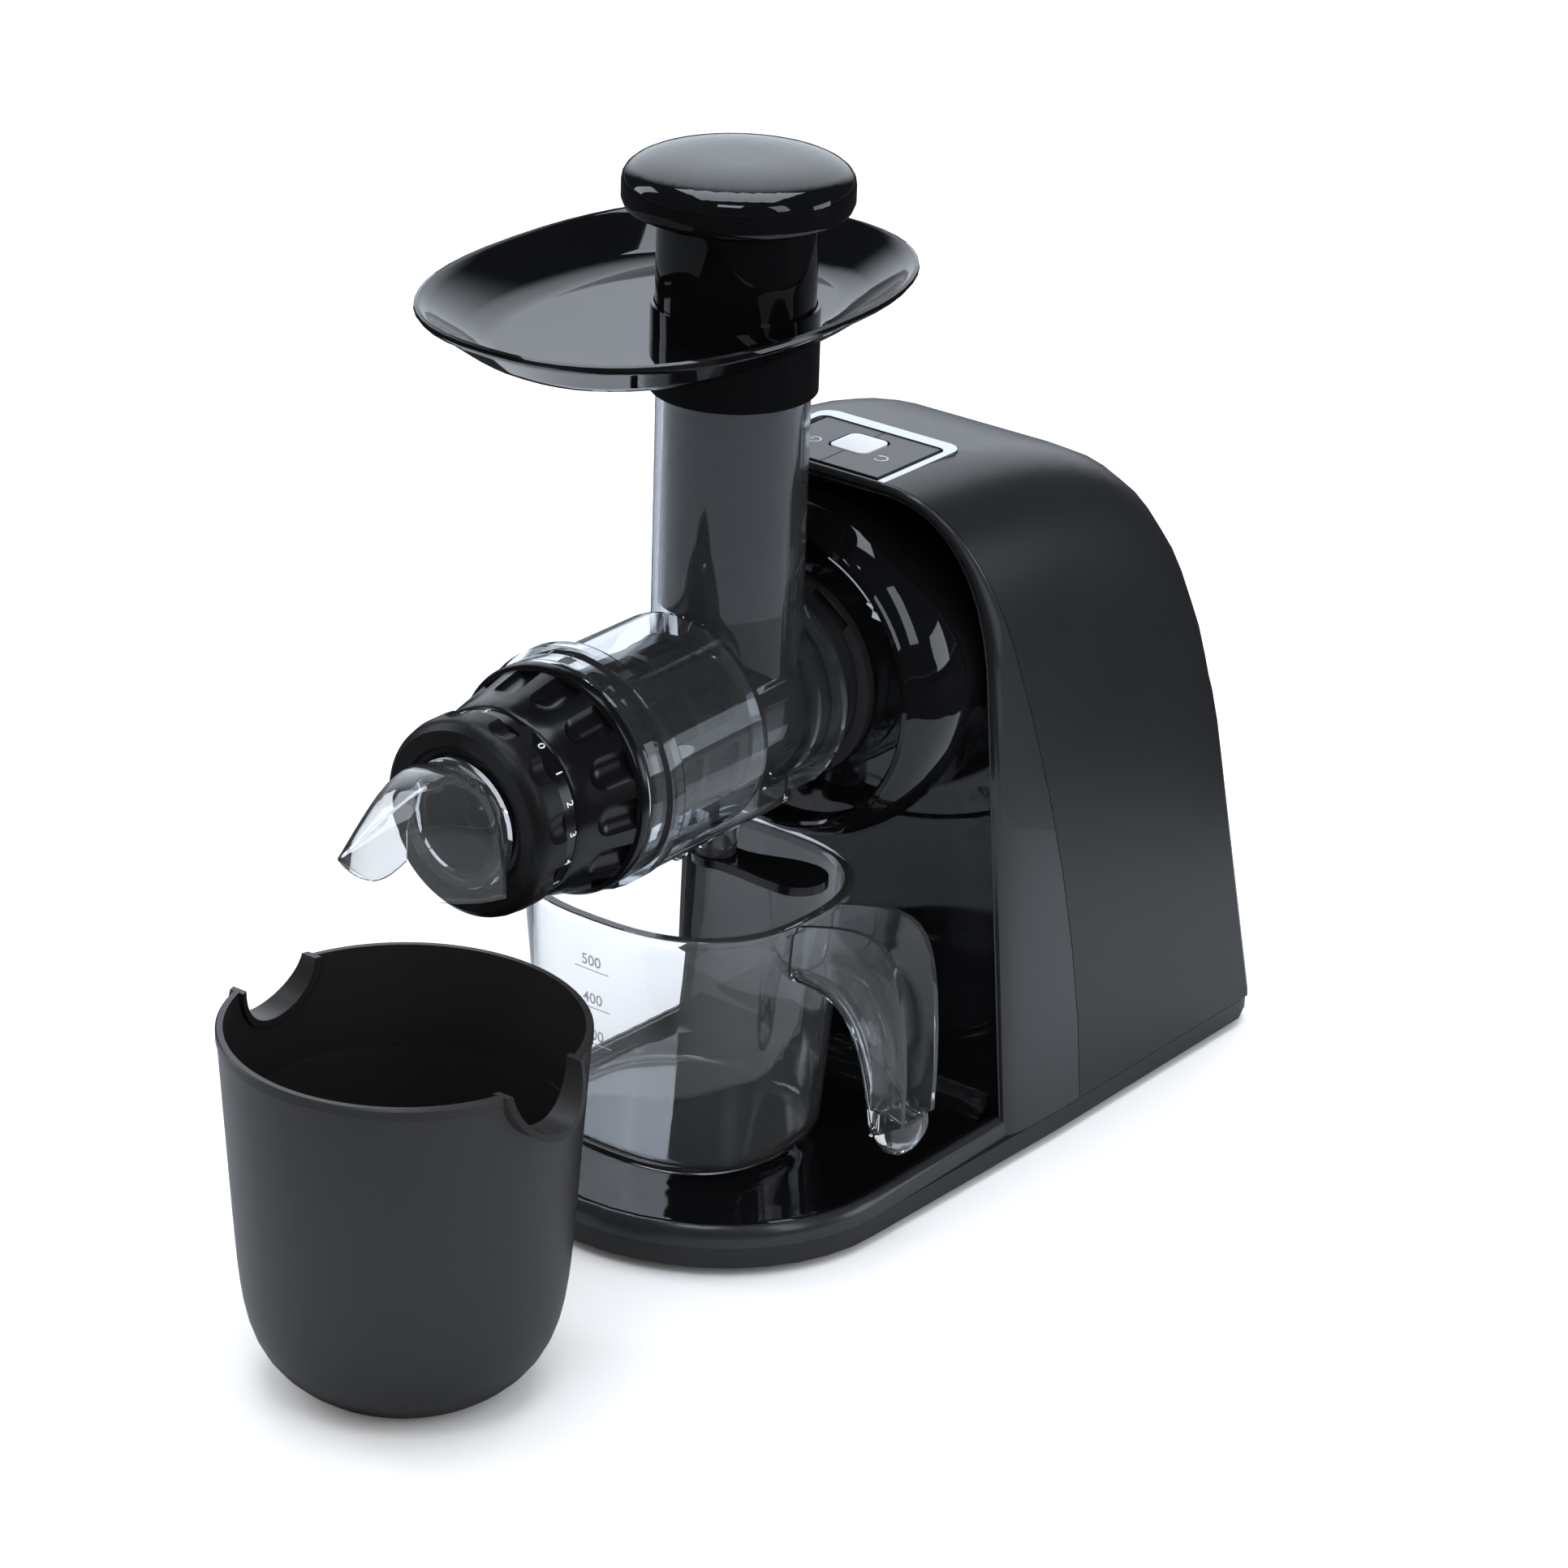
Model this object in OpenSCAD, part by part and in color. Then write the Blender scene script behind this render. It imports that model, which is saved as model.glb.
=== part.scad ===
// Cold press juicer with a level auger: motor housing, clear juicing chamber,
// feed tray with pusher, juice jug and a loose pulp container.
// +Z is up, -Y is the front (the pulp spout), X = 0 is the plane of the auger axis.
// The origin lies on the table at the middle of the housing's footprint.

/* [Housing] */
// Front to back length of the footprint
base_l = 322; // [310:1:340]
// Width of the housing at the table
base_w = 164; // [160:1:176]
// Height of the housing at the control panel
housing_h = 266; // [262:1:276]
// Wall of the housing mouldings
housing_wall = 2.6; // [2:0.1:3.5]
// Gap between the table and the base plate
foot_gap = 3.5; // [3:0.5:6]
// Height of the platform's rim above the table
platform_h = 19; // [17:0.5:22]
// Depth of the jug dish below the platform's rim
dish_depth = 5; // [4:0.5:7]

/* [Drive] */
// Height of the auger axis above the table
axis_h = 190; // [186:1:196]
// Distance of the boss face in front of the housing's middle
boss_y = 51; // [49:0.5:53]
// Outer radius of the round boss on the fascia
boss_r = 59.5; // [57:0.5:61]
// Tooth module of both gear stages
gear_module = 1.0; // [0.9:0.05:1.05]
// Radius of the drive shaft
drive_shaft_r = 6; // [5:0.5:7]
// Radius of the motor body
motor_r = 30; // [26:1:32]
// Length of the motor body
motor_l = 62; // [50:1:66]

/* [Chamber] */
// Outer radius of the clear barrel
barrel_r = 39.5; // [38.5:0.5:41]
// Wall of the clear mouldings
clear_wall = 2.5; // [2:0.1:3]
// Distance from the boss face to the barrel's front face
barrel_reach = 123.5; // [121:0.5:126]
// Length of the wide barrel, flange included
barrel_l = 68; // [65:1:71]
// Outer radius of the narrow rear neck
neck_r = 31; // [29:0.5:33]
// Distance of the feed chute's axis in front of the boss face
chute_reach = 31.3; // [30.5:0.1:33]
// Outer radius of the feed chute
chute_r = 27; // [26:0.5:28]
// Height of the chute's mouth above the table
chute_top = 327; // [320:1:335]

/* [Auger and screen] */
// Outer radius of the auger's flights
auger_r = 26.5; // [24:0.5:27]
// Radius of the auger's core at its front end
auger_core_r = 17; // [14:0.5:19]
// Pitch of the auger's flights at the feed end
auger_pitch = 26; // [22:1:30]
// Running clearance between turning and fixed parts
run_gap = 0.4; // [0.3:0.05:0.6]

/* [Nut, dial and spout] */
// Outer radius of the locking nut's rear ridge
nut_r = 41.6; // [40.5:0.1:43]
// Number of finger pockets round the nut
nut_pockets = 14; // [10:1:16]
// Length of the locking nut
nut_l = 30; // [28:0.5:33]
// Radius of the adjusting dial
dial_r = 35.5; // [34:0.5:37]
// Length of the adjusting dial
dial_l = 14; // [12:0.5:16]
// Number of finger pockets round the dial
dial_pockets = 11; // [8:1:12]

/* [Tray and pusher] */
// Height of the tray's rim above the table
tray_h = 343; // [340:1:350]
// Front to back length of the tray
tray_l = 196; // [180:1:205]
// Width of the tray
tray_w = 142; // [132:1:150]
// Radius of the pusher's cap
cap_r = 40.2; // [38:0.5:42]
// Height of the pusher's top above the table
cap_top = 390; // [386:1:396]

/* [Jug] */
// Height of the jug's rim above its foot
jug_h = 100.5; // [92:0.5:104]
// Half width of the jug at the rim, from side to side
jug_half = 57.5; // [53:0.5:58]
// Half length of the jug at the rim, from front to back
jug_half_l = 53; // [48:0.5:55]
// Wall of the jug
jug_wall = 2.4; // [2:0.1:3]

/* [Pulp container] */
// Outer radius of the pulp container's rim
bin_r = 62.7; // [58:0.5:66]
// Height of the pulp container
bin_h = 133; // [120:1:140]
// Wall of the pulp container
bin_wall = 2.4; // [2:0.1:3]

/* [Hidden] */

round_fn = 96;       // roundness of turned shapes
fit = 0.05;          // radial clearance of a running or push fit
seat = 0.3;          // gap between pieces that lie on each other
boss = -boss_y;      // Y of the boss face
barrel_front = boss - barrel_reach;
barrel_rear = barrel_front + barrel_l;
chute_y = boss - chute_reach;
fascia_y = -6;               // Y of the fascia's flat front
tail_r = 34;                             // radius of the chamber's tail tube
tail_end = boss + 13;                    // rear end of the tail tube
auger_rear = boss - 4;                   // rear face of the auger

// ---------- curves and skins ----------

function lerp(a, b, t) = a + (b - a) * t;

// Point at t on the cubic curve through the control points p
function bez(p, t) = pow(1 - t, 3) * p[0] + 3 * t * pow(1 - t, 2) * p[1]
    + 3 * t * t * (1 - t) * p[2] + t * t * t * p[3];

// Points of a superellipse with half sizes a and b, n points, power k
function oval(a, b, n, k = 2) = [for (i = [0:n - 1]) let (w = 360 * i / n)
    [a * sign(cos(w)) * pow(abs(cos(w)), 2 / k), b * sign(sin(w)) * pow(abs(sin(w)), 2 / k)]];

// The flat outline lifted to height z, and moved by (x, y)
function lift(outline, z, x = 0, y = 0) = [for (p = outline) [p[0] + x, p[1] + y, z]];

// A closed skin through rings of equal length, with a flat face at each end
module skin(rings) {
    n = len(rings[0]);
    m = len(rings);
    sides = [for (j = [0:m - 2], i = [0:n - 1]) let (k = (i + 1) % n, a = j * n, b = a + n)
        each [[a + i, b + i, a + k], [a + k, b + i, b + k]]];
    ends = [[for (i = [0:n - 1]) i], [for (i = [n - 1:-1:0]) (m - 1) * n + i]];
    polyhedron(points = [for (r = rings) each r], faces = concat(sides, ends), convexity = 8);
}

// A closed skin through rings that run out along one side of a wall and back along the
// other, so that point i lies across the wall from point n - 1 - i
module wall_skin(rings) {
    n = len(rings[0]);
    m = len(rings);
    last = (m - 1) * n;
    sides = [for (j = [0:m - 2], i = [0:n - 1]) let (k = (i + 1) % n, a = j * n, b = a + n)
        each [[a + i, b + i, a + k], [a + k, b + i, b + k]]];
    ends = [for (i = [0:n / 2 - 2]) each [
        [i, i + 1, n - 1 - i], [i + 1, n - 2 - i, n - 1 - i],
        [last + n - 1 - i, last + i + 1, last + i],
        [last + n - 1 - i, last + n - 2 - i, last + i + 1]]];
    polyhedron(points = [for (r = rings) each r], faces = concat(sides, ends), convexity = 8);
}

// Turns the outline of [radius, Y] points round the auger axis
module turned(outline) {
    translate([0, 0, axis_h]) rotate([-90, 0, 0])
        rotate_extrude($fn = round_fn) polygon(outline);
}

// A plain ring or disc on the auger axis, from y0 to y1
module ring(r_out, r_in, y0, y1) {
    translate([0, y0, axis_h]) rotate([-90, 0, 0]) difference() {
        cylinder(r = r_out, h = y1 - y0, $fn = round_fn);
        if (r_in > 0) translate([0, 0, -1]) cylinder(r = r_in, h = y1 - y0 + 2, $fn = round_fn);
    }
}

// A rod along Y at (x, z), from y0 to y1
module rod(r, x, z, y0, y1) {
    translate([x, y0, z]) rotate([-90, 0, 0]) cylinder(r = r, h = y1 - y0, $fn = round_fn);
}

// ---------- housing ----------

base_z = foot_gap;           // underside of the base plate
shell_z = base_z + 8;        // lower edge of the shell and the frame
base_half = base_w / 2;
rear_y = base_l / 2;
front_y = -base_l / 2;
nose_l = 73;                 // length of the platform's rounded nose
nose_y = front_y + nose_l;   // where the nose begins
skirt_w = base_half - 3;     // half width of the platform at the table
top_half = 30;               // half width of the flat top
shoulder = 62;               // height of the rounded shoulder
flare = 0.052;               // lean of the side walls
seam_low = 37;               // Y of the shell's front seam at the bottom
seam_top = -35;              // Y of the shell's front seam at the top
rear_low = rear_y - 9;       // Y of the shell's rear edge at the bottom
ridge_line = [[seam_top, housing_h], [25, housing_h], [109, housing_h - 4], [113, 196]];
leg_steps = 6;               // facets of one straight side of the arch
crown_steps = 9;             // facets of one rounded shoulder
arch_steps = leg_steps + crown_steps + 1;
leg_end = leg_steps / arch_steps;
crown_end = 1 - 1 / arch_steps;
shell_steps = 11;            // facets along the shell

// Ridge of the shell at v, from the front seam (0) to the rear edge (1)
function ridge(v) = bez(ridge_line, v);

// Runs up a straight side, round a shoulder and along the flat top of an arch
function arch_mix(s, low, side, crown) =
    s < leg_end ? lerp(low, side, s / leg_end)
    : s < crown_end ? bez(crown, (s - leg_end) / (crown_end - leg_end))
    : lerp(crown[3], [0, crown[3][1]], (s - crown_end) / (1 - crown_end));

// Half of the arch in the XZ plane: s runs from the lower edge (0) to the ridge (1)
function arch_xz(s, top, inset) = let (
    shoulder_z = top - shoulder,
    low_x = base_half - flare * shell_z - inset,
    side_x = base_half - flare * shoulder_z - inset,
    crown = [[side_x, shoulder_z], [side_x - 3, top - 18], [top_half + 26, top], [top_half, top]]
) arch_mix(s, [low_x, shell_z], [side_x, shoulder_z], crown);

// Point of the housing's outer surface, sunk by inset: u from -1 (left) to 1 (right)
function hull_point(u, v, inset = 0) = let (
    r = ridge(v),
    top = r[1] - inset,
    p = arch_xz(1 - abs(u), top, inset),
    low = lerp(seam_low, rear_low, v),
    h = pow((p[1] - shell_z) / (top - shell_z), lerp(1.8, 1, v))
) [sign(u) * p[0], lerp(low, r[0], h), p[1]];

arch_u = [for (i = [-arch_steps:arch_steps]) i / arch_steps];

// Plan of the platform and the base, sunk by inset: a rounded nose and straight sides
function half_plan(inset) = concat(
    [for (a = [-90:9:0]) [(skirt_w - inset) * cos(a), nose_y + (nose_l - inset) * sin(a)]],
    [[base_half - inset, seam_low - 15], [base_half - inset, rear_y - 14],
     [base_half - 4 - inset, rear_y - 3 - inset], [base_half - 10 - inset, rear_y - inset]]);

function plan(inset) = let (half = half_plan(inset), n = len(half))
    concat(half, [for (i = [n - 1:-1:1]) [-half[i][0], half[i][1]]]);

// Plan of the platform without its rear part, which ends at y_end
function nose_plan(inset, y_end) = let (
    half = [for (a = [-90:9:0]) [(skirt_w - inset) * cos(a), nose_y + (nose_l - inset) * sin(a)]],
    n = len(half))
    concat(half, [[skirt_w - inset, y_end]], [[inset - skirt_w, y_end]],
        [for (i = [n - 1:-1:1]) [-half[i][0], half[i][1]]]);

dish_rim = 4;                            // width of the platform's rim round the dish
dish_back = fascia_y + 0.8;              // rear end of the dish
dish_z = platform_h - dish_depth;        // floor that the jug stands on
base_floor = 3;                          // thickness of the base plate

module base_plate() {
    vents = 9;
    color([0.10, 0.10, 0.11]) difference() {
        translate([0, 0, base_z]) linear_extrude(shell_z - base_z - 0.2) polygon(plan(0.6));
        translate([0, 0, base_z + base_floor]) linear_extrude(20) polygon(plan(8));
        for (p = foot_spots) translate([p[0], p[1], base_z - 1]) cylinder(r = foot_r, h = 2.5);
        for (i = [0:vents - 1]) translate([-22, 12 + 5 * i, base_z - 1]) cube([44, 2.4, 6]);
        for (p = screw_spots) translate([p[0], p[1], base_z - 1]) {
            cylinder(r = screw_r + fit, h = 20, $fn = 32);
            cylinder(r = screw_head_r + 0.2, h = 2.5, $fn = 32);
        }
    }
}

foot_r = 9;
foot_spots = [[-56, -100], [56, -100], [-66, 138], [66, 138]];
screw_r = 1.6;
screw_head_r = 3.2;
screw_spots = [[-36, -112], [36, -112], [-68, 108], [68, 108]];

module rubber_feet() {
    color([0.16, 0.16, 0.16]) for (p = foot_spots) translate([p[0], p[1], 0]) {
        cylinder(r1 = foot_r - 1.2, r2 = foot_r - 0.4, h = base_z, $fn = 48);
        translate([0, 0, base_z - 0.01]) cylinder(r = foot_r - 0.4, h = 1.4, $fn = 48);
    }
}

module housing_screws() {
    color([0.7, 0.7, 0.72]) for (p = screw_spots) translate([p[0], p[1], base_z - 0.2]) difference() {
        union() {
            cylinder(r = screw_head_r, h = 1.6, $fn = 32);
            cylinder(r = screw_r, h = dish_z - base_z - 1.2, $fn = 32);
        }
        translate([0, 0, -1]) cylinder(r = 1.2, h = 2, $fn = 6);
    }
}

// Inner rim of the frame, round the glossy fascia: s runs from the lower edge to the top
rim_half = 77.5;             // half width of the rim at the table
rim_flare = 0.067;           // lean of the rim's sides
rim_drop = 9;                // distance of the rim's top below the ridge

function rim_xz(s, inset) = let (
    top = housing_h - rim_drop - inset,
    side_z = top - 70,
    low_x = rim_half - rim_flare * shell_z - inset,
    side_x = rim_half - rim_flare * side_z - inset,
    crown = [[side_x, side_z], [side_x - 2, side_z + 34], [top_half + 26, top], [top_half - 4, top]]
) arch_mix(s, [low_x, shell_z], [side_x, side_z], crown);

// Y of the rim at height z: it leans forward towards the top
function rim_y(z) = fascia_y - 1 - 5.5 * z / 200 - 11 * pow(max(0, (z - 190) / 67), 2);

function rim_point(u, inset = 0, back = 0) = let (p = rim_xz(1 - abs(u), inset))
    [sign(u) * p[0], rim_y(p[1]) + back, p[1]];

// Curve across the frame at u, from the shell's seam to the rim, sunk by wall
function frame_curve(u, wall, n) = let (
    a = hull_point(u, 0, wall),
    b = rim_point(u, 0, wall),
    nose = min(a[1], b[1]) - 3 + wall,
    c = [lerp(b[0], a[0], 0.85), nose, lerp(b[2], a[2], 0.85)],
    pull = [a[0], lerp(a[1], nose, 0.7), a[2]]
) [for (i = [0:n]) bez([a, pull, c, b], i / n)];

frame_steps = 7;
border = 1.0;                // width of the lip that holds the fascia's edge

// The lip from the rim back to the fascia, and the wall behind it, at u
function lip_out(u) = let (p = rim_point(u, border))
    [rim_point(u, border * 0.4, -0.3), p + [0, 0.5, 0], [p[0], fascia_y - seat, p[2]]];

function lip_in(u) = let (p = rim_point(u, 0.3), a = [p[0], fascia_y - seat, p[2]],
    b = rim_point(u, 0, housing_wall)) [a, lerp(a, b, 0.33), lerp(a, b, 0.67)];

module front_frame() {
    skirt_end = fascia_y - 1.5;
    color([0.14, 0.14, 0.15]) union() {
        wall_skin([for (u = arch_u) let (
            inner = frame_curve(u, housing_wall, frame_steps))
            concat(frame_curve(u, 0, frame_steps), lip_out(u), lip_in(u),
                [for (i = [frame_steps:-1:0]) inner[i]])]);
        difference() {
            skin([
                lift(nose_plan(0, skirt_end), shell_z + 0.1),
                lift(nose_plan(0.2, skirt_end), shell_z + 3.5),
                lift(nose_plan(1.2, skirt_end), platform_h - 1.4),
                lift(nose_plan(2.8, skirt_end), platform_h)]);
            translate([0, 0, shell_z - 1]) linear_extrude(20)
                polygon(nose_plan(dish_rim, fascia_y + 5));
        }
    }
}

// ---------- fascia ----------

fascia_back = fascia_y + housing_wall;
fold_r = 16;                 // radius of the fold from the dish to the fascia
disc_y = boss + 4;           // Y of the boss's sunk disc
disc_hole_r = tail_r + 5.8;  // radius of the hole in the disc
bulge_r = boss_r + 6;        // widest radius of the bulge behind the boss

module boss_shell() {
    turned([
        [disc_hole_r, disc_y], [boss_r - 3.6, disc_y], [boss_r - 3.6, boss - 1.8],
        [boss_r - 2.6, boss - 2.8], [boss_r - 1, boss - 2.1], [boss_r, boss],
        [boss_r + 3.2, boss + 3.6], [bulge_r - 1, boss + 9], [bulge_r, boss + 17],
        [bulge_r - 0.8, boss + 25], [bulge_r - 2.4, boss + 33], [bulge_r - 3.4, boss + 38],
        [bulge_r - 3.6, fascia_y], [bulge_r - 3.6, fascia_back],
        [bulge_r - 6.2, fascia_back], [bulge_r - 6, boss + 38], [bulge_r - 5, boss + 32.5],
        [bulge_r - 3.4, boss + 25], [bulge_r - 2.7, boss + 17],
        [bulge_r - 3.8, boss + 10], [bulge_r - 7, boss + 6.6], [disc_hole_r, boss + 6.6]]);
}

rim_gap = 0.4;               // gap between the fascia and the frame

// Flat glossy panel behind the frame's lip
module fascia_panel() {
    outline = [for (u = arch_u) let (p = rim_point(u, rim_gap)) [p[0], p[2]]];
    translate([0, fascia_back, 0]) rotate([90, 0, 0])
        linear_extrude(housing_wall) polygon(outline);
}

// Concave fold that leads from the dish's floor up to the panel
module fascia_fold() {
    half = rim_half - 8;
    rotate([90, 0, -90]) translate([0, 0, -half]) linear_extrude(2 * half) polygon(concat(
        [[-fascia_back, shell_z], [-fascia_y + fold_r, shell_z], [-fascia_y + fold_r, dish_z]],
        [for (a = [80:-10:0]) [-fascia_y + fold_r * (1 - cos(a)), dish_z + fold_r * (1 - sin(a))]]));
}

// Dish that the jug stands in
module jug_dish() {
    dish = function(inset) nose_plan(dish_rim + rim_gap + inset, dish_back);
    difference() {
        skin([lift(dish(3), shell_z), lift(dish(0), shell_z + 2.5),
              lift(dish(0), platform_h - 1), lift(dish(0.8), platform_h)]);
        skin([lift(dish(5.5), dish_z), lift(dish(3.4), dish_z + 1),
              lift(dish(2.6), dish_z + 3), lift(dish(1.8), platform_h + 1)]);
    }
}

module front_fascia() {
    color([0.03, 0.03, 0.035]) {
        difference() {
            union() {
                difference() {
                    union() {
                        fascia_panel();
                        fascia_fold();
                    }
                    turned_hole(bulge_r - 5, fascia_y - 4, fascia_back + 2);
                }
                boss_shell();
                jug_dish();
            }
            for (p = screw_spots) if (p[1] < 0) translate([p[0], p[1], base_z])
                cylinder(r = screw_r + fit, h = dish_z - base_z - 0.8, $fn = 32);
        }
    }
}

module turned_hole(r, y0, y1) { turned([[0, y0], [r, y0], [r, y1], [0, y1]]); }

// ---------- shell and rear cover ----------

panel_half = 31;             // half width of the control panel
panel_front = seam_top + 0.9;
panel_l = 48;                // length of the control panel
panel_z = housing_h - 0.4;   // height of the panel's top

panel_t = 2.4;               // thickness of the panel's bars
panel_corner = 6.5;          // radius of the panel's rear corners
side_bar = 3;                // width of the panel's side bars
rear_bar = 6;                // width of the panel's rear bar
key_gap = 0.4;               // gap round the rocker key
key_t = 2.6;                 // thickness of the rocker key
rock_angle = 3;              // tilt of the key to either side
well_floor = 1.2;            // thickness of the well's floor
key_half = panel_half - side_bar - key_gap;  // half width of the rocker key
well_deep = 0.4 + key_t + key_half * sin(rock_angle) + 0.8 + well_floor;
well_y = panel_front + 9;    // front end of the well under the key

// Flat outline from y0 back to y1 whose two rear corners are rounded
module tab(half, y0, y1, r) {
    translate([-half, y0]) square([2 * half, y1 - r - y0]);
    translate([r - half, y0]) square([2 * (half - r), y1 - y0]);
    for (side = [-1, 1]) translate([side * (half - r), y1 - r]) circle(r = r, $fn = 48);
}

// Opening in the shell for the control panel
module panel_cut() {
    half = panel_half + seat;
    back = panel_front + panel_l + seat;
    translate([0, 0, panel_z - panel_t - seat]) linear_extrude(40)
        tab(half, seam_top - 2, back, panel_corner + seat);
    translate([0, 0, panel_z - well_deep - seat]) linear_extrude(40)
        tab(half, well_y - seat, back, panel_corner + seat);
}

module body_shell() {
    rows = [for (j = [0:shell_steps]) j / shell_steps];
    lug_y = screw_spots[3][1];
    color([0.13, 0.13, 0.14]) difference() {
        union() {
            wall_skin([for (u = arch_u) concat(
                [for (v = rows) hull_point(-u, v) + [0, 0.4, 0]],
                [for (j = [shell_steps:-1:0]) hull_point(-u, rows[j], housing_wall) + [0, 0.4, 0]])]);
            for (side = [-1, 1]) translate([side * 70, lug_y, shell_z + 3])
                cube([20, 14, 6], center = true);
        }
        panel_cut();
        for (p = screw_spots) if (p[1] > 0) translate([p[0], p[1], base_z])
            cylinder(r = screw_r + fit, h = 12, $fn = 32);
    }
}

rear_lean = atan((rear_low - ridge_line[3][0]) / (ridge_line[3][1] - shell_z));
rear_out = 6.5;              // depth of the rear cover beyond the shell

function rear_ring(inset, out) = [for (u = arch_u) if (u != 0) let (
    p = hull_point(-u, 1, inset),
    rise = inset * (1 - (p[2] - shell_z) / (ridge_line[3][1] - inset - shell_z)))
    p + out * [0, cos(rear_lean), sin(rear_lean)] + rise * [0, -sin(rear_lean), cos(rear_lean)]];

// Places children on the rear cover's face, at x and height h along the face
module on_rear(x, h) {
    translate([x, rear_low, shell_z]) rotate([rear_lean, 0, 0])
        translate([0, rear_out, h]) rotate([-90, 0, 0]) children();
}

gland_h = 26;
gland_x = -38;
gland_r = 5.5;

module rear_cover() {
    color([0.12, 0.12, 0.13]) difference() {
        wall_skin([rear_ring(11, rear_out), rear_ring(5, rear_out - 1), rear_ring(1.4, rear_out - 3.6),
              rear_ring(0, 0.4), rear_ring(housing_wall + seat, 0.4),
              rear_ring(housing_wall + seat, -4), rear_ring(housing_wall + 2.2, -4),
              rear_ring(housing_wall + 3.4, 1), rear_ring(11, rear_out - housing_wall)]);
        on_rear(gland_x, gland_h) translate([0, 0, -8]) cylinder(r = gland_r + fit, h = 16);
    }
}

module cord_gland() {
    color([0.09, 0.09, 0.09]) on_rear(gland_x, gland_h) difference() {
        union() {
            translate([0, 0, seat]) cylinder(r1 = gland_r + 2, r2 = gland_r + 1.4, h = 2);
            translate([0, 0, -4]) cylinder(r = gland_r, h = 5);
            translate([0, 0, -housing_wall - 2.4]) cylinder(r = gland_r + 1.5, h = 1.6);
        }
        translate([0, 0, -10]) cylinder(r = 3.2, h = 20);
    }
}

// ---------- control panel ----------

key_y0 = panel_front + side_bar + key_gap;
key_y1 = panel_front + panel_l - rear_bar - key_gap;
key_corner = 3.5;                    // radius of the key's rear corners
rock_y = (key_y0 + key_y1) / 2;
rock_z = panel_z - 3.2;               // height of the rocker's hinge
inlay_half = 8.2;
inlay_y = rock_y + 4;
switch_half = 6;
switch_y = 3.5;

module panel_frame() {
    low = panel_z - well_deep;
    ledge = 0.4;
    color([0.78, 0.79, 0.8]) difference() {
        union() {
            difference() {
                union() {
                    translate([0, 0, panel_z - panel_t]) linear_extrude(panel_t)
                        tab(panel_half, panel_front, panel_front + panel_l, panel_corner);
                    translate([0, 0, low]) linear_extrude(well_deep - 0.5)
                        tab(panel_half - ledge, well_y, panel_front + panel_l - ledge,
                            panel_corner - ledge);
                }
                translate([0, 0, low + well_floor]) linear_extrude(20)
                    tab(key_half + key_gap, panel_front - 1, key_y1 + key_gap, key_corner + key_gap);
            }
            translate([-4, well_y, low + 0.5]) cube([8, 3, rock_z - 0.6 - low - 0.5]);
        }
        rod(1.5 + fit, 0, rock_z, well_y - 1, key_y1 + 2.4);
        translate([-switch_half - 0.2, switch_y - switch_half - 0.2, low - 1])
            cube([2 * switch_half + 0.4, 2 * switch_half + 0.4, 6]);
    }
}

module rocker_switch() {
    color([0.05, 0.05, 0.055]) difference() {
        union() {
            intersection() {
                translate([0, key_y1, panel_z - 0.4]) rotate([90, 0, 0]) linear_extrude(key_y1 - key_y0)
                    polygon([[-key_half, -key_t], [key_half, -key_t], [key_half, -1.5],
                        [key_half - 2.3, 0], [2.3 - key_half, 0], [-key_half, -1.5]]);
                translate([0, 0, panel_z - 10]) linear_extrude(20)
                    tab(key_half, key_y0 - 1, key_y1, key_corner);
            }
            rod(1.5, 0, rock_z, well_y + 0.3, key_y1 + 2.2);
        }
        translate([-0.25, key_y0 - 1, panel_z - 1]) cube([0.5, key_y1 - key_y0 + 2, 2]);
        translate([0, inlay_y, panel_z - 1.4]) linear_extrude(3) inlay_plan(1);
    }
}

// Square outline of the inlay with round corners, larger by gap
module inlay_plan(gap) {
    half = inlay_half + gap;
    corner = 3.4 + gap;
    square([2 * half, 2 * (half - corner)], center = true);
    square([2 * (half - corner), 2 * half], center = true);
    for (x = [-1, 1], y = [-1, 1]) translate([x, y] * (half - corner)) circle(r = corner, $fn = 48);
}

module rocker_inlay() {
    color([0.86, 0.87, 0.88]) translate([0, inlay_y, panel_z - 1.4]) linear_extrude(1.2)
        inlay_plan(0);
}

module switch_block() {
    color([0.2, 0.2, 0.22]) translate([-switch_half, switch_y - switch_half, panel_z - 19])
        cube([2 * switch_half, 2 * switch_half, rock_z - 1.8 - panel_z + 19]);
}

// ---------- motor and gears ----------

gear_w = 10;                             // width of the output gear
plate_y = fascia_y + housing_wall + seat;
gear_y = plate_y - 2 - gear_w;           // front of the output gear
plate_t = 5;
stage_y = plate_y + plate_t + 3;         // front of the large compound gear
stage_w = 8;
bracket_y = stage_y + stage_w + 4;       // front of the motor bracket
bracket_t = 4;
big_teeth = 60;
small_teeth = 12;
centre_gap = gear_module * (big_teeth + small_teeth) / 2;
lay_z = axis_h - centre_gap;             // height of the layshaft
motor_z = lay_z - centre_gap;            // height of the motor
big_r = gear_module * (big_teeth / 2 + 0.8);
small_r = gear_module * (small_teeth / 2 + 0.8);
pin_r = 4;                               // radius of the motor shaft and the layshaft
pressure = 25;                           // pressure angle of the teeth
backlash = 0.12;                         // taken off each flank of a tooth

// Half angle of a tooth at radius r, for a gear of n teeth
function tooth_half(n, r) = let (
    pitch_r = n * gear_module / 2,
    base_r = pitch_r * cos(pressure),
    roll = function(x) let (t = sqrt(max(0, pow(x / base_r, 2) - 1))) t * 180 / PI - atan(t)
) 90 / n - backlash / pitch_r * 180 / PI + roll(pitch_r) - roll(max(r, base_r));

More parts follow.
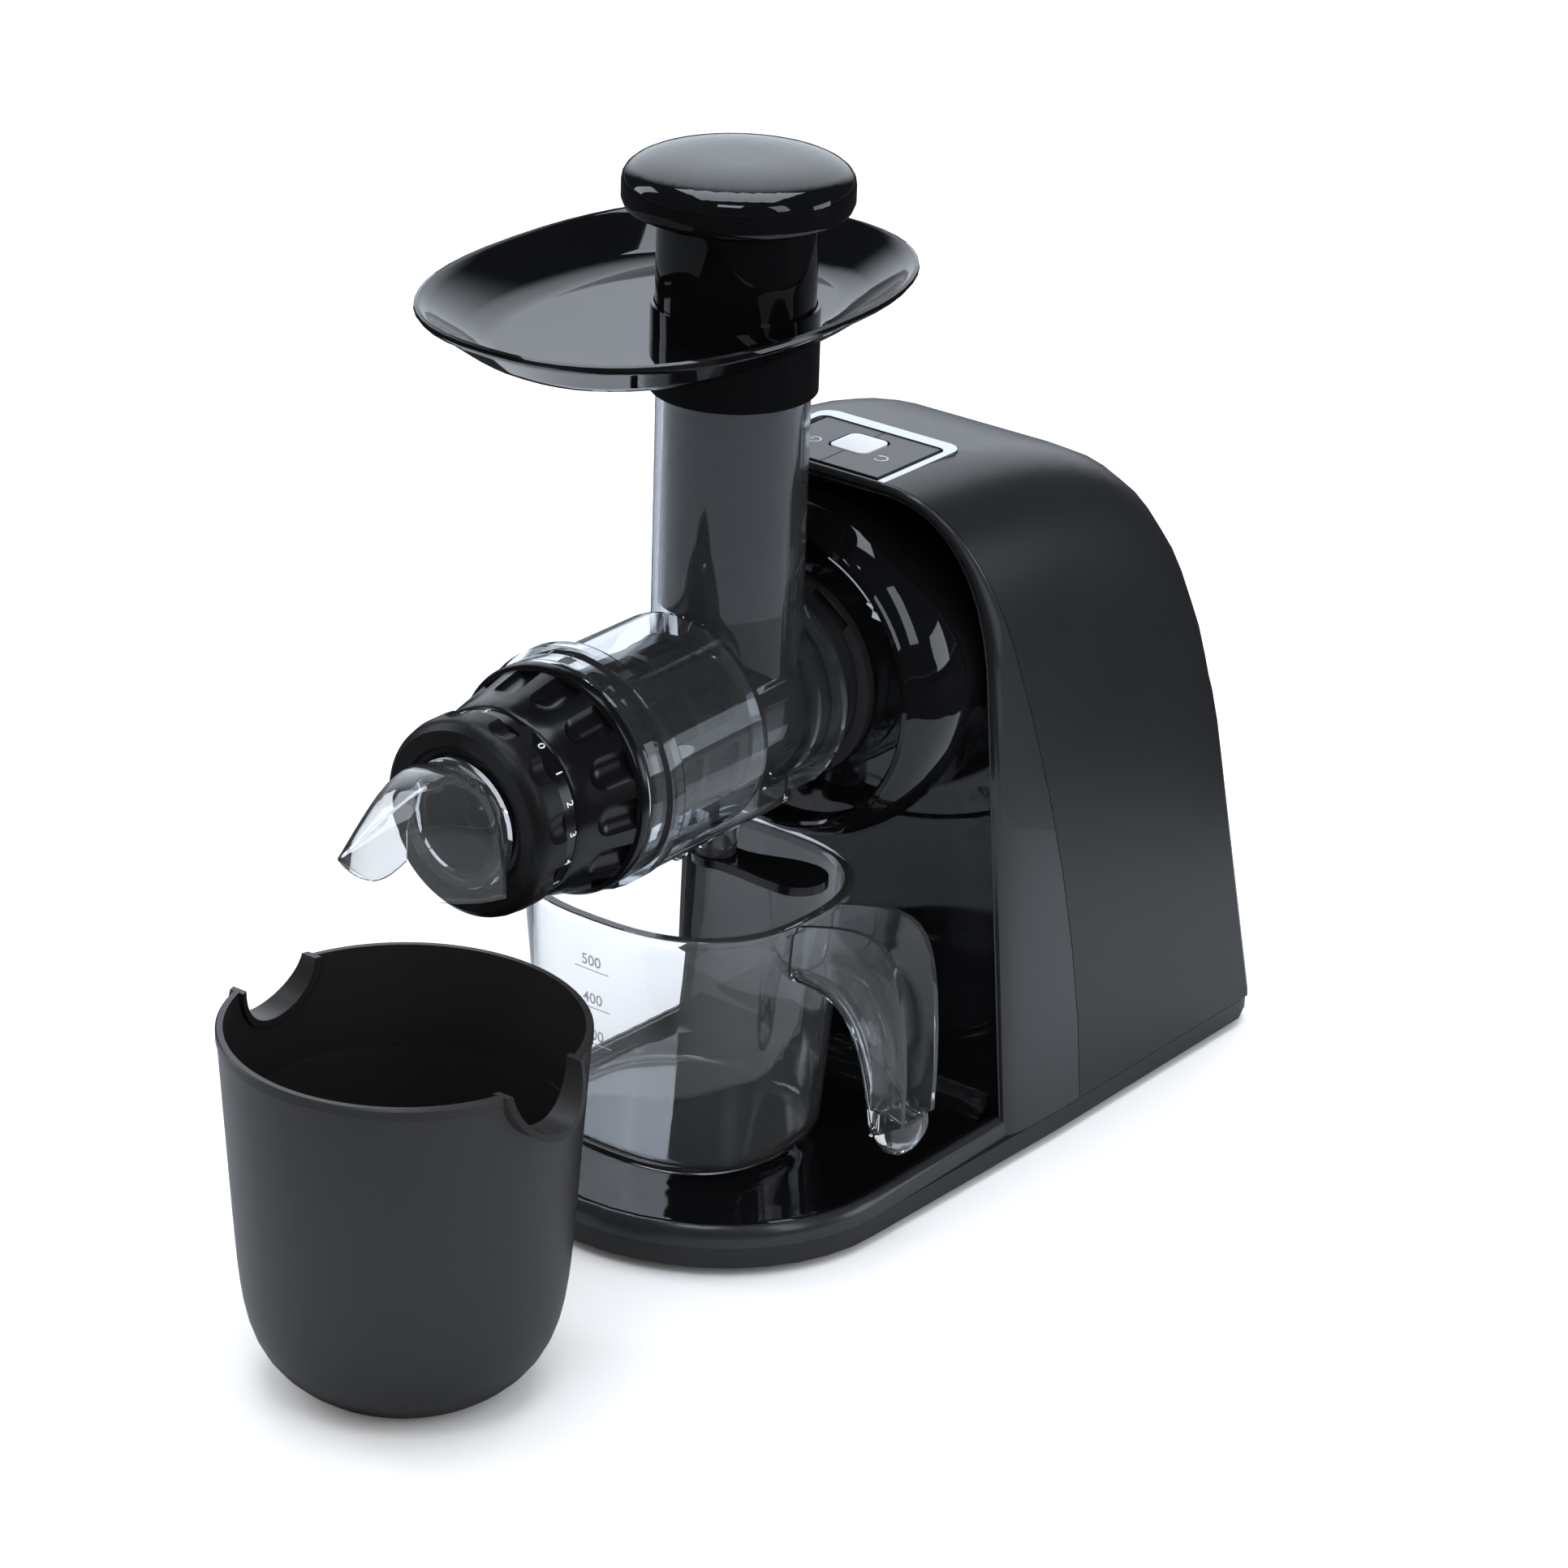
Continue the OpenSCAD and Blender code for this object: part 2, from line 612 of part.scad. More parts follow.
// Involute outline of a spur gear with n teeth
function gear_outline(n) = let (
    pitch_r = n * gear_module / 2,
    radii = [pitch_r - 1.1 * gear_module, pitch_r - 0.35 * gear_module,
             pitch_r + 0.25 * gear_module, pitch_r + 0.8 * gear_module]
) [for (i = [0:n - 1]) let (mid = 360 * i / n)
    each concat(
        [for (r = radii) let (w = mid - tooth_half(n, r)) r * [cos(w), sin(w)]],
        [for (j = [3:-1:0]) let (r = radii[j], w = mid + tooth_half(n, r)) r * [cos(w), sin(w)]])];

// A spur gear on an axis along Y at height z
module spur(n, z, y0, width, bore_r, turn = 0) {
    translate([0, y0, z]) rotate([-90, 0, 0]) rotate([0, 0, turn]) difference() {
        linear_extrude(width) polygon(gear_outline(n));
        if (bore_r > 0) translate([0, 0, -1]) cylinder(r = bore_r, h = width + 2, $fn = 64);
    }
}

module motor_bracket() {
    half = 44;
    top = lay_z + 14;
    low = motor_z - 34;
    color([0.62, 0.63, 0.65]) difference() {
        union() {
            translate([-half, bracket_y, low]) cube([2 * half, bracket_t, top - low]);
            for (x = [-1, 1], z = [low + 7, top - 7])
                rod(4.5, x * (half - 6), z, plate_y + plate_t + 0.2, bracket_y + 0.1);
        }
        rod(pin_r + 4, 0, motor_z, bracket_y - 1, bracket_y + bracket_t + 1);
        rod(pin_r + fit, 0, lay_z, bracket_y - 1, bracket_y + bracket_t - 1.5);
    }
}

motor_y = bracket_y + bracket_t + 0.2;

module motor_can() {
    color([0.55, 0.56, 0.58]) translate([0, motor_y, motor_z]) rotate([-90, 0, 0]) difference() {
        union() {
            cylinder(r = motor_r, h = motor_l - 14);
            cylinder(r = motor_r - 1.5, h = motor_l);
            cylinder(r = 9, h = motor_l + 4);
        }
        translate([0, 0, -1]) cylinder(r = pin_r + fit, h = motor_l + 8, $fn = 64);
        for (w = [0:60:300]) rotate([0, 0, w + 30]) translate([motor_r - 10, 0, motor_l - 7])
            cylinder(r = 3, h = 10, $fn = 32);
    }
}

motor_end = motor_y + motor_l;

module motor_shaft() {
    color([0.75, 0.75, 0.77]) rod(pin_r, 0, motor_z, stage_y - 1.5, motor_end + 16);
}

module motor_pinion() {
    color([0.72, 0.6, 0.3]) spur(small_teeth, motor_z, stage_y, stage_w, pin_r + 0.02, 15);
}

module cooling_fan() {
    blades = 9;
    fan_r = motor_r - 3;
    color([0.2, 0.2, 0.22]) translate([0, motor_end + 5, motor_z]) rotate([-90, 0, 0]) difference() {
        union() {
            cylinder(r = 8, h = 10, $fn = 64);
            cylinder(r = fan_r, h = 1.2);
            for (i = [0:blades - 1]) rotate([0, 0, 360 * i / blades]) translate([7, -0.7, 0])
                cube([fan_r - 8.5, 1.4, 9]);
        }
        translate([0, 0, -1]) cylinder(r = pin_r + 0.02, h = 12, $fn = 64);
    }
}

module layshaft() {
    color([0.75, 0.75, 0.77])
        rod(pin_r, 0, lay_z, socket_back - 4, bracket_y + bracket_t - 1.7);
}

module compound_gear() {
    color([0.85, 0.83, 0.76]) difference() {
        union() {
            spur(small_teeth, lay_z, gear_y + 0.5, gear_w, 0, 15);
            rod(small_r + 0.4, 0, lay_z, gear_y + gear_w + 0.3, stage_y + 0.5);
            spur(big_teeth, lay_z, stage_y, stage_w, 0);
        }
        rod(pin_r + fit, 0, lay_z, gear_y - 1, stage_y + stage_w + 1);
    }
}

module gearbox_plate() {
    low = motor_z - 34;
    top = axis_h + 50;
    color([0.5, 0.51, 0.53]) difference() {
        translate([0, plate_y + plate_t, 0]) rotate([90, 0, 0]) linear_extrude(plate_t)
            polygon([[-54, low], [54, low], [54, axis_h + 12], [40, top], [-40, top],
                     [-54, axis_h + 12]]);
        rod(rear_bearing_r + fit, 0, axis_h, plate_y - 1, plate_y + plate_t + 1);
        rod(small_r + 1.5, 0, lay_z, plate_y - 1, plate_y + plate_t + 1);
        rod(pin_r + 3, 0, motor_z, plate_y - 1, plate_y + plate_t + 1);
    }
}

module output_gear() {
    color([0.85, 0.83, 0.76]) difference() {
        spur(big_teeth, axis_h, gear_y, gear_w, drive_shaft_r + 0.02);
        translate([0, gear_y - 1, axis_h]) rotate([-90, 0, 0]) difference() {
            cylinder(r = big_r - 6, h = 3.5);
            cylinder(r = drive_shaft_r + 5, h = 3.5);
        }
    }
}

rear_bearing_r = 11;
front_bearing_r = 14;
socket_floor = tail_end + 0.5;           // front face of the socket's rear wall
socket_back = boss + 25;                 // rear face of the bayonet socket
hex_r = drive_shaft_r - 0.2;             // corner radius of the drive hexagon
hex_y = auger_rear - 18;                 // front end of the drive hexagon

module drive_shaft() {
    color([0.75, 0.75, 0.77]) {
        rod(drive_shaft_r, 0, axis_h, auger_rear + 1.5, plate_y + plate_t + 2);
        translate([0, hex_y, axis_h]) rotate([-90, 0, 0])
            cylinder(r = hex_r, h = auger_rear + 1.6 - hex_y, $fn = 6);
    }
}

module front_bearing() {
    color([0.8, 0.66, 0.35]) ring(front_bearing_r, drive_shaft_r + fit, socket_back - 8, socket_back - 0.2);
}

module rear_bearing() {
    color([0.8, 0.66, 0.35]) ring(rear_bearing_r, drive_shaft_r + fit, plate_y, plate_y + plate_t);
}

module shaft_seal() {
    color([0.25, 0.1, 0.08])
        ring(front_bearing_r - 2, drive_shaft_r + fit, socket_floor + 0.4, socket_back - 8.2);
}

lug_r = tail_r + 3.5;                    // tip radius of the chamber's three lugs
lug_y = tail_end - 6;                    // front of the lugs
lug_w = 4;
twist = 35;                              // turn that frees the chamber
lip_back = lug_y - 0.4;                  // rear face of the socket's lip

module bayonet_socket() {
    color([0.07, 0.07, 0.075]) difference() {
        union() {
            ring(tail_r + 5.2, 0, boss + 1.2, boss + 8);
            ring(tail_r + 11, 0, boss + 6.9, socket_back);
        }
        turned_hole(tail_r + 0.4, boss, socket_floor);
        turned_hole(lug_r + 0.5, lip_back, socket_floor);
        for (i = [0:2]) lug_slot(120 * i + twist);
        turned_hole(front_bearing_r + fit, socket_back - 8.1, socket_back + 1);
        turned_hole(front_bearing_r - 2 + fit, socket_floor - 1, socket_back + 1);
        rod(pin_r + fit, 0, lay_z, socket_back - 4.2, socket_back + 1);
    }
}

// Opening in the socket's lip that lets a lug in, w degrees from the top
module lug_slot(w) {
    translate([0, boss, axis_h]) rotate([0, w, 0]) translate([-9, -1, 0])
        cube([18, lip_back - boss + 2, lug_r + 0.5]);
}

module control_board() {
    board_y = 60;
    color([0.1, 0.35, 0.2]) {
        for (x = [-1, 1], y = [0, 56]) translate([x * 26, board_y + y, base_z + base_floor])
            cylinder(r = 3, h = 4.6, $fn = 32);
        translate([-32, board_y - 6, base_z + base_floor + 4.5]) cube([64, 68, 1.6]);
        for (x = [-14, 10]) translate([x, board_y + 30, base_z + base_floor + 6])
            cylinder(r = 7, h = 20, $fn = 48);
        translate([-24, board_y + 6, base_z + base_floor + 6]) cube([18, 14, 12]);
    }
}

// ---------- juicing chamber ----------

screen_r = auger_r + run_gap + 0.7;      // outer radius of the screen's mesh
cage_r = screen_r + 3;                   // outer radius of the screen's cage
mouth_r = cage_r + 1.6;                  // bore of the chamber's front end
male_r = mouth_r + clear_wall;           // outer radius of the threaded front end
male_l = 11;                             // length of the threaded front end
neck_bore = neck_r - clear_wall;
bowl_bore = barrel_r - clear_wall;
chute_bore = chute_r - clear_wall;
trough_half = 17;
trough_low = axis_h - 43.5;              // underside of the juice trough
spigot_y = chute_y - 3;
spigot_r = 8;
spigot_low = trough_low - 11.5;
flange_r = barrel_r + 4.2;
lever_x = -13;                           // X of the lever's pin
lever_z = spigot_low - 5;                // height of the lever's pin
ear_gap = 9;                             // gap between the ears that hold the lever

module juicing_chamber() {
    color([0.75, 0.8, 0.84, 0.4]) difference() {
        union() {
            turned([
                [0, barrel_front - male_l], [male_r, barrel_front - male_l],
                [male_r, barrel_front], [barrel_r + 1.5, barrel_front],
                [barrel_r + 2, barrel_front + 0.6], [barrel_r + 2, barrel_front + 8],
                [flange_r, barrel_front + 8.6], [flange_r, barrel_front + 15.5],
                [flange_r - 0.8, barrel_front + 16.4], [barrel_r + 0.6, barrel_front + 17],
                [barrel_r, barrel_front + 19], [barrel_r, barrel_rear - 2.5],
                [barrel_r - 0.8, barrel_rear - 0.7], [barrel_r - 2.6, barrel_rear],
                [neck_r, barrel_rear], [neck_r, boss - 25], [tail_r, boss - 25],
                [tail_r, boss - 15], [tail_r + 6, boss - 15], [tail_r + 6, boss - 12],
                [tail_r, boss - 12], [tail_r, tail_end], [0, tail_end]]);
            translate([0, chute_y, axis_h]) cylinder(r = chute_r, h = chute_top - axis_h);
            trough(trough_half, trough_low, axis_h - 20, barrel_front + 14, boss - 13, 5);
            translate([0, spigot_y, spigot_low]) cylinder(r = spigot_r, h = 20, $fn = 64);
            for (i = [0:2]) lug(120 * i);
            lever_ears();
        }
        turned([
            [0, barrel_front - male_l - 1], [mouth_r, barrel_front - male_l - 1],
            [mouth_r, barrel_front + 2], [bowl_bore, barrel_front + 4],
            [bowl_bore, barrel_rear - clear_wall], [neck_bore, barrel_rear - clear_wall],
            [neck_bore, auger_rear + 0.6], [0, auger_rear + 0.6]]);
        turned_hole(seal_r + fit, auger_rear, auger_rear + 8);
        turned_hole(tail_r - clear_wall, auger_rear + 4.2, tail_end + 1);
        translate([0, chute_y, axis_h]) cylinder(r = chute_bore, h = chute_top);
        trough(trough_half - clear_wall, trough_low + clear_wall, axis_h - neck_r - 1.4,
            barrel_front + 14 + clear_wall, boss - 13 - clear_wall, 3);
        trough(trough_half - clear_wall, axis_h - neck_r - 2, axis_h - bowl_bore * 0.86,
            barrel_front + 14 + clear_wall, barrel_rear - clear_wall, 0.01);
        translate([0, spigot_y, spigot_low - 1])
            cylinder(r = spigot_r - 2, h = 20, $fn = 64);
    }
}

seal_r = 14;

// A channel along Y with rounded lower edges
module trough(half, low, high, y0, y1, corner) {
    translate([0, y1, 0]) rotate([90, 0, 0]) linear_extrude(y1 - y0) union() {
        translate([-half, low + corner]) square([2 * half, high - low - corner]);
        translate([-half + corner, low]) square([2 * (half - corner), high - low]);
        if (corner > 1) for (x = [-1, 1])
            translate([x * (half - corner), low + corner]) circle(r = corner, $fn = 48);
    }
}

// One bayonet lug on the tail tube, w degrees from the top
module lug(w) {
    translate([0, lug_y, axis_h]) rotate([0, w, 0]) translate([-8, 0, tail_r - 1])
        cube([16, lug_w, lug_r - tail_r + 0.6]);
}

module lever_ears() {
    for (y = [spigot_y - ear_gap / 2 - 3, spigot_y + ear_gap / 2]) difference() {
        union() {
            translate([lever_x - 4, y, lever_z]) cube([8, 3, trough_low - lever_z + 3]);
            rod(4, lever_x, lever_z, y, y + 3);
        }
        rod(lever_pin_r + fit, lever_x, lever_z, y - 1, y + 4);
    }
}

lever_pin_r = 1.6;

module lever_pin() {
    color([0.7, 0.7, 0.72])
        rod(lever_pin_r, lever_x, lever_z, spigot_y - ear_gap / 2 - 3.4, spigot_y + ear_gap / 2 + 3.4);
}

lever_top = spigot_low - 3.6;
lever_t = 3.4;
paddle_x = 46;

// Plan of the lever: a narrow arm from the pin that widens to a thumb paddle
module stop_lever() {
    mid_y = spigot_y + 3;
    color([0.05, 0.05, 0.055]) difference() {
        union() {
            rod(4, lever_x, lever_z, spigot_y - ear_gap / 2 + 0.4, spigot_y + ear_gap / 2 - 0.4);
            translate([lever_x + 1, spigot_y - ear_gap / 2 + 0.8, lever_top - lever_t + 0.2])
                cube([12, ear_gap - 1.6, lever_t - 0.4]);
            translate([0, 0, lever_top - lever_t]) linear_extrude(lever_t) union() {
                translate([0, spigot_y]) circle(r = spigot_r + 0.5, $fn = 64);
                polygon(concat(
                    [[0, spigot_y - 7]],
                    [for (i = [0:8]) bez([[4, spigot_y - 7], [16, spigot_y - 6],
                        [22, mid_y - 11], [34, mid_y - 11]], i / 8)],
                    [for (a = [-90:15:90]) [paddle_x - 11 + 11 * cos(a), mid_y + 11 * sin(a)]],
                    [for (i = [0:8]) bez([[34, mid_y + 11], [22, mid_y + 11],
                        [16, spigot_y + 6], [4, spigot_y + 7]], i / 8)],
                    [[0, spigot_y + 7]]));
            }
            for (i = [0:3]) translate([25 + 4.4 * i, mid_y - 8, lever_top - 0.2])
                cube([1.6, 16, 0.9]);
        }
        rod(lever_pin_r + fit, lever_x, lever_z, spigot_y - 20, spigot_y + 20);
    }
}

module outlet_plug() {
    color([0.5, 0.5, 0.52]) translate([0, spigot_y, lever_top + 0.05]) {
        cylinder(r = spigot_r - 0.6, h = 3.2, $fn = 64);
    }
}

module chamber_seal() {
    color([0.85, 0.85, 0.86]) ring(seal_r, drive_shaft_r + 4.3, auger_rear + 0.8, auger_rear + 4);
}

// ---------- auger and screen ----------

auger_front = barrel_front - 8;
auger_l = auger_rear - auger_front;
flight_t = 3.2;
flight_turns = 3.4;

// Radius of the auger's core at distance d from its rear end
function core_r(d) = lerp(11.5, auger_core_r, pow(d / auger_l, 0.8));

// Turn of the flight in degrees at distance d: the pitch tightens towards the front
function flight_turn(d) = let (pitch = lerp(auger_pitch, auger_pitch * 0.62, d / auger_l))
    360 * d / pitch;

module flight(start) {
    steps = 72;
    run = auger_l - 8;
    skin([for (i = [0:steps]) let (
        d = 4 + run * i / steps,
        w = start + flight_turn(d),
        low = core_r(d) - 1.5,
        dir = [cos(w), 0, sin(w)],
        at = [0, auger_rear - d, axis_h])
        [at + low * dir - [0, flight_t * 0.75, 0], at + auger_r * dir - [0, flight_t * 0.4, 0],
         at + auger_r * dir + [0, flight_t * 0.4, 0], at + low * dir + [0, flight_t * 0.75, 0]]]);
}

module auger() {
    color([0.05, 0.05, 0.055]) difference() {
        union() {
            turned(concat(
                [[0, auger_rear], [auger_r, auger_rear], [auger_r, auger_rear - 2.4],
                 [auger_r - 2, auger_rear - 3.4]],
                [for (d = [6:12:auger_l - 10]) [core_r(d), auger_rear - d]],
                [[auger_core_r, auger_front + 3], [auger_core_r - 3, auger_front],
                 [0, auger_front]]));
            turned_hole(drive_shaft_r + 4, auger_rear - 1, auger_rear + 4);
            flight(0);
        }
        turned_hole(insert_r + 0.02, hex_y - 2, auger_rear + 5);
    }
}

insert_r = drive_shaft_r + 2.4;

module auger_insert() {
    color([0.72, 0.72, 0.74]) translate([0, hex_y - 1.8, axis_h]) rotate([-90, 0, 0]) difference() {
        cylinder(r = insert_r, h = auger_rear + 1 - hex_y + 1.8, $fn = 64);
        translate([0, 0, 1.2]) cylinder(r = hex_r + 0.1, h = 60, $fn = 6);
    }
}

screen_rear = barrel_rear - clear_wall - 0.6;

module juice_screen() {
    cols = 8;
    rows = 3;
    pitch = (screen_rear - barrel_front - 5) / rows;
    color([0.06, 0.06, 0.065]) difference() {
        union() {
            ring(cage_r, screen_r + fit, barrel_front - male_l + 0.4, screen_rear);
            ring(mouth_r - 0.3, screen_r + fit, barrel_front - male_l + 0.4, barrel_front - male_l + 3.4);
            ring(cage_r, auger_core_r + 2, barrel_front - male_l + 0.4, barrel_front - male_l + 2);
        }
        for (r = [0:rows - 1], i = [0:cols - 1])
            translate([0, barrel_front + 3 + pitch * r, axis_h]) rotate([0, 360 * i / cols + 10, 0])
                translate([-8, 0, screen_r - 2]) cube([16, pitch - 3, 10]);
    }
}

module screen_mesh() {
    slots = 30;
    color([0.75, 0.75, 0.77]) difference() {
        ring(screen_r, screen_r - 0.7, barrel_front - male_l + 2.4, screen_rear - 0.3);
        for (i = [0:slots - 1]) translate([0, barrel_front + 2, axis_h])
            rotate([0, 360 * i / slots, 0]) translate([-0.5, 0, screen_r - 3])
                cube([1, screen_rear - barrel_front - 6, 6]);
    }
}

// ---------- locking nut, dial and spout ----------

nut_front = barrel_front - nut_l;        // front edge of the nut's grip
nut_front_r = 34.6;                      // radius of the nut at its front edge
band_l = 6;                              // length of the number band
band_r = nut_front_r - 1.2;
dial_y = nut_front - band_l - seat;      // rear face of the dial
dial_front = dial_y - dial_l;
sleeve_r = 24;                           // radius of the sleeve that the dial turns on
bush_r = 17;                             // outer radius of the outlet bush
spout_r = bush_r + fit + 2.6;            // outer radius of the spout's tube

module locking_nut() {
    taper = atan((nut_r - 2 - nut_front_r) / (nut_l - 5));
    color([0.06, 0.06, 0.065]) difference() {
        turned([
            [spout_r + fit, dial_front + 3], [sleeve_r, dial_front + 3], [sleeve_r, dial_y + 0.1],
            [band_r - 1, dial_y + 0.1], [band_r, dial_y + 1], [band_r, nut_front],
            [nut_front_r - 1, nut_front], [nut_front_r, nut_front + 1.2],
            [nut_r - 2, barrel_front - 5], [nut_r - 0.6, barrel_front - 4.4],
            [nut_r, barrel_front - 3.2], [nut_r, barrel_front - 1.4],
            [nut_r - 0.8, barrel_front - seat], [male_r + 0.4, barrel_front - seat],
            [male_r + 0.4, barrel_front - male_l - seat], [cage_r, barrel_front - male_l - seat],
            [bush_r + fit, barrel_front - male_l - 8], [bush_r + fit, dial_y + 2],
            [spout_r + fit, dial_y + 2]]);
        for (i = [0:nut_pockets - 1]) translate([0, 0, axis_h])
            rotate([0, 360 * (i + 0.5) / nut_pockets, 0]) translate([0, nut_front + 4, nut_front_r + 7.2])
                rotate([taper, 0, 0]) pocket();
    }
}

// Cutter of one finger pocket: a round-ended finger from y = 0 back to the ridge
module pocket() {
    r = 8.8;
    rotate([-90, 0, 0]) union() {
        translate([0, 0, r]) sphere(r = r, $fn = 48);
        translate([0, 0, r]) cylinder(r = r, h = nut_l - 10 - r, $fn = 48);
    }
}

pointer_w = 24;                          // place of the dial's pointer, in degrees from the top

// Pointed tab that reaches back from the dial over the number band
module pointer() {
    base = 5;
    translate([0, dial_y - 1, axis_h]) rotate([0, pointer_w, 0])
        translate([0, 0, band_r + 0.4]) linear_extrude(dial_r - band_r - 0.8)
            polygon([[-base, 0], [base, 0], [base, 1.4], [0, band_l + seat + 0.4], [-base, 1.4]]);
}

module adjusting_dial() {
    color([0.08, 0.08, 0.085]) union() {
        difference() {
            dial_body();
            for (i = [0:dial_pockets - 1]) translate([0, dial_y - dial_l * 0.3, axis_h])
                rotate([0, 360 * i / dial_pockets + pocket_w, 0]) translate([0, 0, dial_r + 4.4])
                    rotate([-90, 0, 0]) union() {
                        sphere(r = 7.2, $fn = 64);
                        cylinder(r = 7.2, h = dial_l, $fn = 64);
                    }
        }
        pointer();
    }
}

pocket_w = 17;                           // place of the dial's first pocket

module dial_body() {
    turned([
        [sleeve_r + fit, dial_y], [dial_r - 1, dial_y], [dial_r, dial_y - 1],
        [dial_r, dial_y - dial_l * 0.55], [dial_r - 0.8, dial_y - dial_l * 0.8],
        [dial_r - 3.4, dial_front], [sleeve_r + 2.5, dial_front],
        [sleeve_r + 1.6, dial_front + 1.2], [sleeve_r + fit, dial_front + 1.2]]);
}

bush_travel = 4;                         // how far the dial draws the bush inwards
bush_rear = auger_front - 2 - bush_travel;

module outlet_bush() {
    color([0.05, 0.05, 0.055]) turned([
        [bush_r - 2.4, dial_front - 2], [bush_r, dial_front - 2], [bush_r, bush_rear - 4],
        [bush_r - 3, bush_rear], [bush_r - 5.4, bush_rear], [bush_r - 3.4, bush_rear - 8]]);
}

spout_y = dial_front - 4;                // front face of the spout's ring
spout_tip = spout_y - 57.5;
spout_tip_z = axis_h + 7.6;

// Cross section of the hood at distance t (0 at the ring, 1 at the tip), sunk by wall
function hood_ring(t, wall) = let (
    y = lerp(spout_y, spout_tip, t),
    low = lerp(axis_h - spout_r, spout_tip_z, pow(t, 1.5)),
    top = axis_h + spout_r + 1.2 + 9 * pow(sin(min(90, t * 180)), 1) * (1 - t)
        - (spout_r + 1.2 - 7.6) * pow(t, 2.4),
    half = (spout_r + 3.6) * pow(1 - t, 0.9),
    h = max(0.3, top - wall - low),
    w = max(0.4, half - wall)
) [for (a = [0:15:180]) [w * sign(cos(a)) * pow(abs(cos(a)), 0.65), y, low + h * pow(abs(sin(a)), 0.8)]];

module pulp_spout() {
    steps = 10;
    color([0.85, 0.88, 0.9, 0.4]) {
        turned([
            [spout_r - 2.6, spout_y], [spout_r + 2.4, spout_y], [spout_r + 3.2, spout_y + 1.4],
            [spout_r + 3.2, dial_front - seat], [spout_r, dial_front - seat],
            [spout_r, dial_y + 1.8], [spout_r - 2.6, dial_y + 1.8]]);
        wall_skin([for (i = [0:steps]) let (
            t = 0.985 * i / steps,
            inner = hood_ring(t, 2))
            concat(
                [for (p = hood_ring(t, 0)) p + [0, i == 0 ? 0.5 : 0, 0]],
                [for (j = [len(inner) - 1:-1:0]) inner[j] + [0, i == 0 ? 0.5 : 0, 0]])]);
    }
}

// ---------- feed tray and pusher ----------

tray_x = -22;                            // X of the tray's middle
tray_y = chute_y - 8.7;                  // Y of the tray's middle
tray_wall = 2.6;
tray_depth = 17;
tray_slope = 20;                         // run of the tray's sloping walls
collar_z = chute_top - 20;               // lower end of the tray's collar
collar_r = chute_r + seat;               // bore of the collar

function tray_ring(inset, z) =
    lift(oval(tray_w / 2 - inset, tray_l / 2 - inset, 56, 2.35), z, tray_x, tray_y);

module feed_tray() {
    floor_z = tray_h - tray_depth;
    color([0.03, 0.03, 0.035]) difference() {
        union() {
            skin([
                tray_ring(tray_slope + 5, floor_z), tray_ring(tray_slope, floor_z + 0.8),
                tray_ring(tray_slope - 5, floor_z + 4), tray_ring(4.4, tray_h - 5),
                tray_ring(1.2, tray_h - 3.4), tray_ring(0, tray_h - 1.8), tray_ring(0.2, tray_h - 0.5),
                tray_ring(1.4, tray_h), tray_ring(3, tray_h - 0.6), tray_ring(5, tray_h - 2.4),
                tray_ring(tray_slope - 4, floor_z + 6),
                tray_ring(tray_slope + 2, floor_z + tray_wall + 0.8),
                tray_ring(tray_slope + 7, floor_z + tray_wall)]);
            translate([0, chute_y, collar_z]) cylinder(r = collar_r + 2.2, h = tray_h - 5 - collar_z);
        }
        translate([0, chute_y, collar_z - 1]) cylinder(r = collar_r, h = 60, $fn = round_fn);
        translate([0, chute_y, chute_top + 0.2]) cylinder(r = sleeve_top_r + 0.4, h = 60, $fn = round_fn);
    }
}

sleeve_top_r = chute_r + 0.9;            // radius of the pusher's upper sleeve
cap_low = cap_top - 19;                  // lower rim of the cap
stem_low = axis_h + auger_r + 10;        // lower end of the pusher's stem

// Turns the outline of [radius, z] points round the chute's axis
module upright(outline) {
    translate([0, chute_y, 0]) rotate_extrude($fn = round_fn) polygon(outline);
}

module pusher_stem() {
    color([0.03, 0.03, 0.035]) upright([
        [0, stem_low], [chute_bore - 2.4, stem_low], [chute_bore - 0.4, stem_low + 2],
        [chute_bore - 0.4, chute_top + 0.3], [sleeve_top_r, chute_top + 0.3],
        [sleeve_top_r, cap_low + 8], [sleeve_top_r - 2.6, cap_low + 8],
        [sleeve_top_r - 2.6, chute_top + 3], [chute_bore - 2.8, chute_top - 1],
        [chute_bore - 2.8, stem_low + 3], [0, stem_low + 3]]);
}

module pusher_cap() {
    wall = 2.6;
    color([0.03, 0.03, 0.035]) upright(concat(
        [[0, cap_top]],
        [for (i = [1:10]) bez([[6, cap_top], [cap_r - 12, cap_top],
            [cap_r, cap_top - 2], [cap_r, cap_low + 9.6]], i / 10)],
        [[cap_r, cap_low + 4], [cap_r - 1, cap_low + 1.6], [cap_r - 4, cap_low],
         [sleeve_top_r + 0.1, cap_low], [sleeve_top_r + 0.1, cap_low + 8.2],
         [sleeve_top_r - 1, cap_low + 8.2], [sleeve_top_r - 1, cap_low + 10],
         [sleeve_top_r + 3, cap_low + 11.4], [sleeve_top_r, cap_top - wall - 1.6],
         [0, cap_top - wall]]));
}

// ---------- jug ----------

jug_x = -19.5;
jug_y = -77;
jug_z = dish_z + 0.05;
jug_taper = 8;                           // the foot is this much narrower than the rim

function jug_ring(inset, h) = let (drawn_in = inset + jug_taper * (1 - h / jug_h))
    lift(oval(jug_half - drawn_in, jug_half_l - drawn_in, 56, 2.5), jug_z + h, jug_x, jug_y);

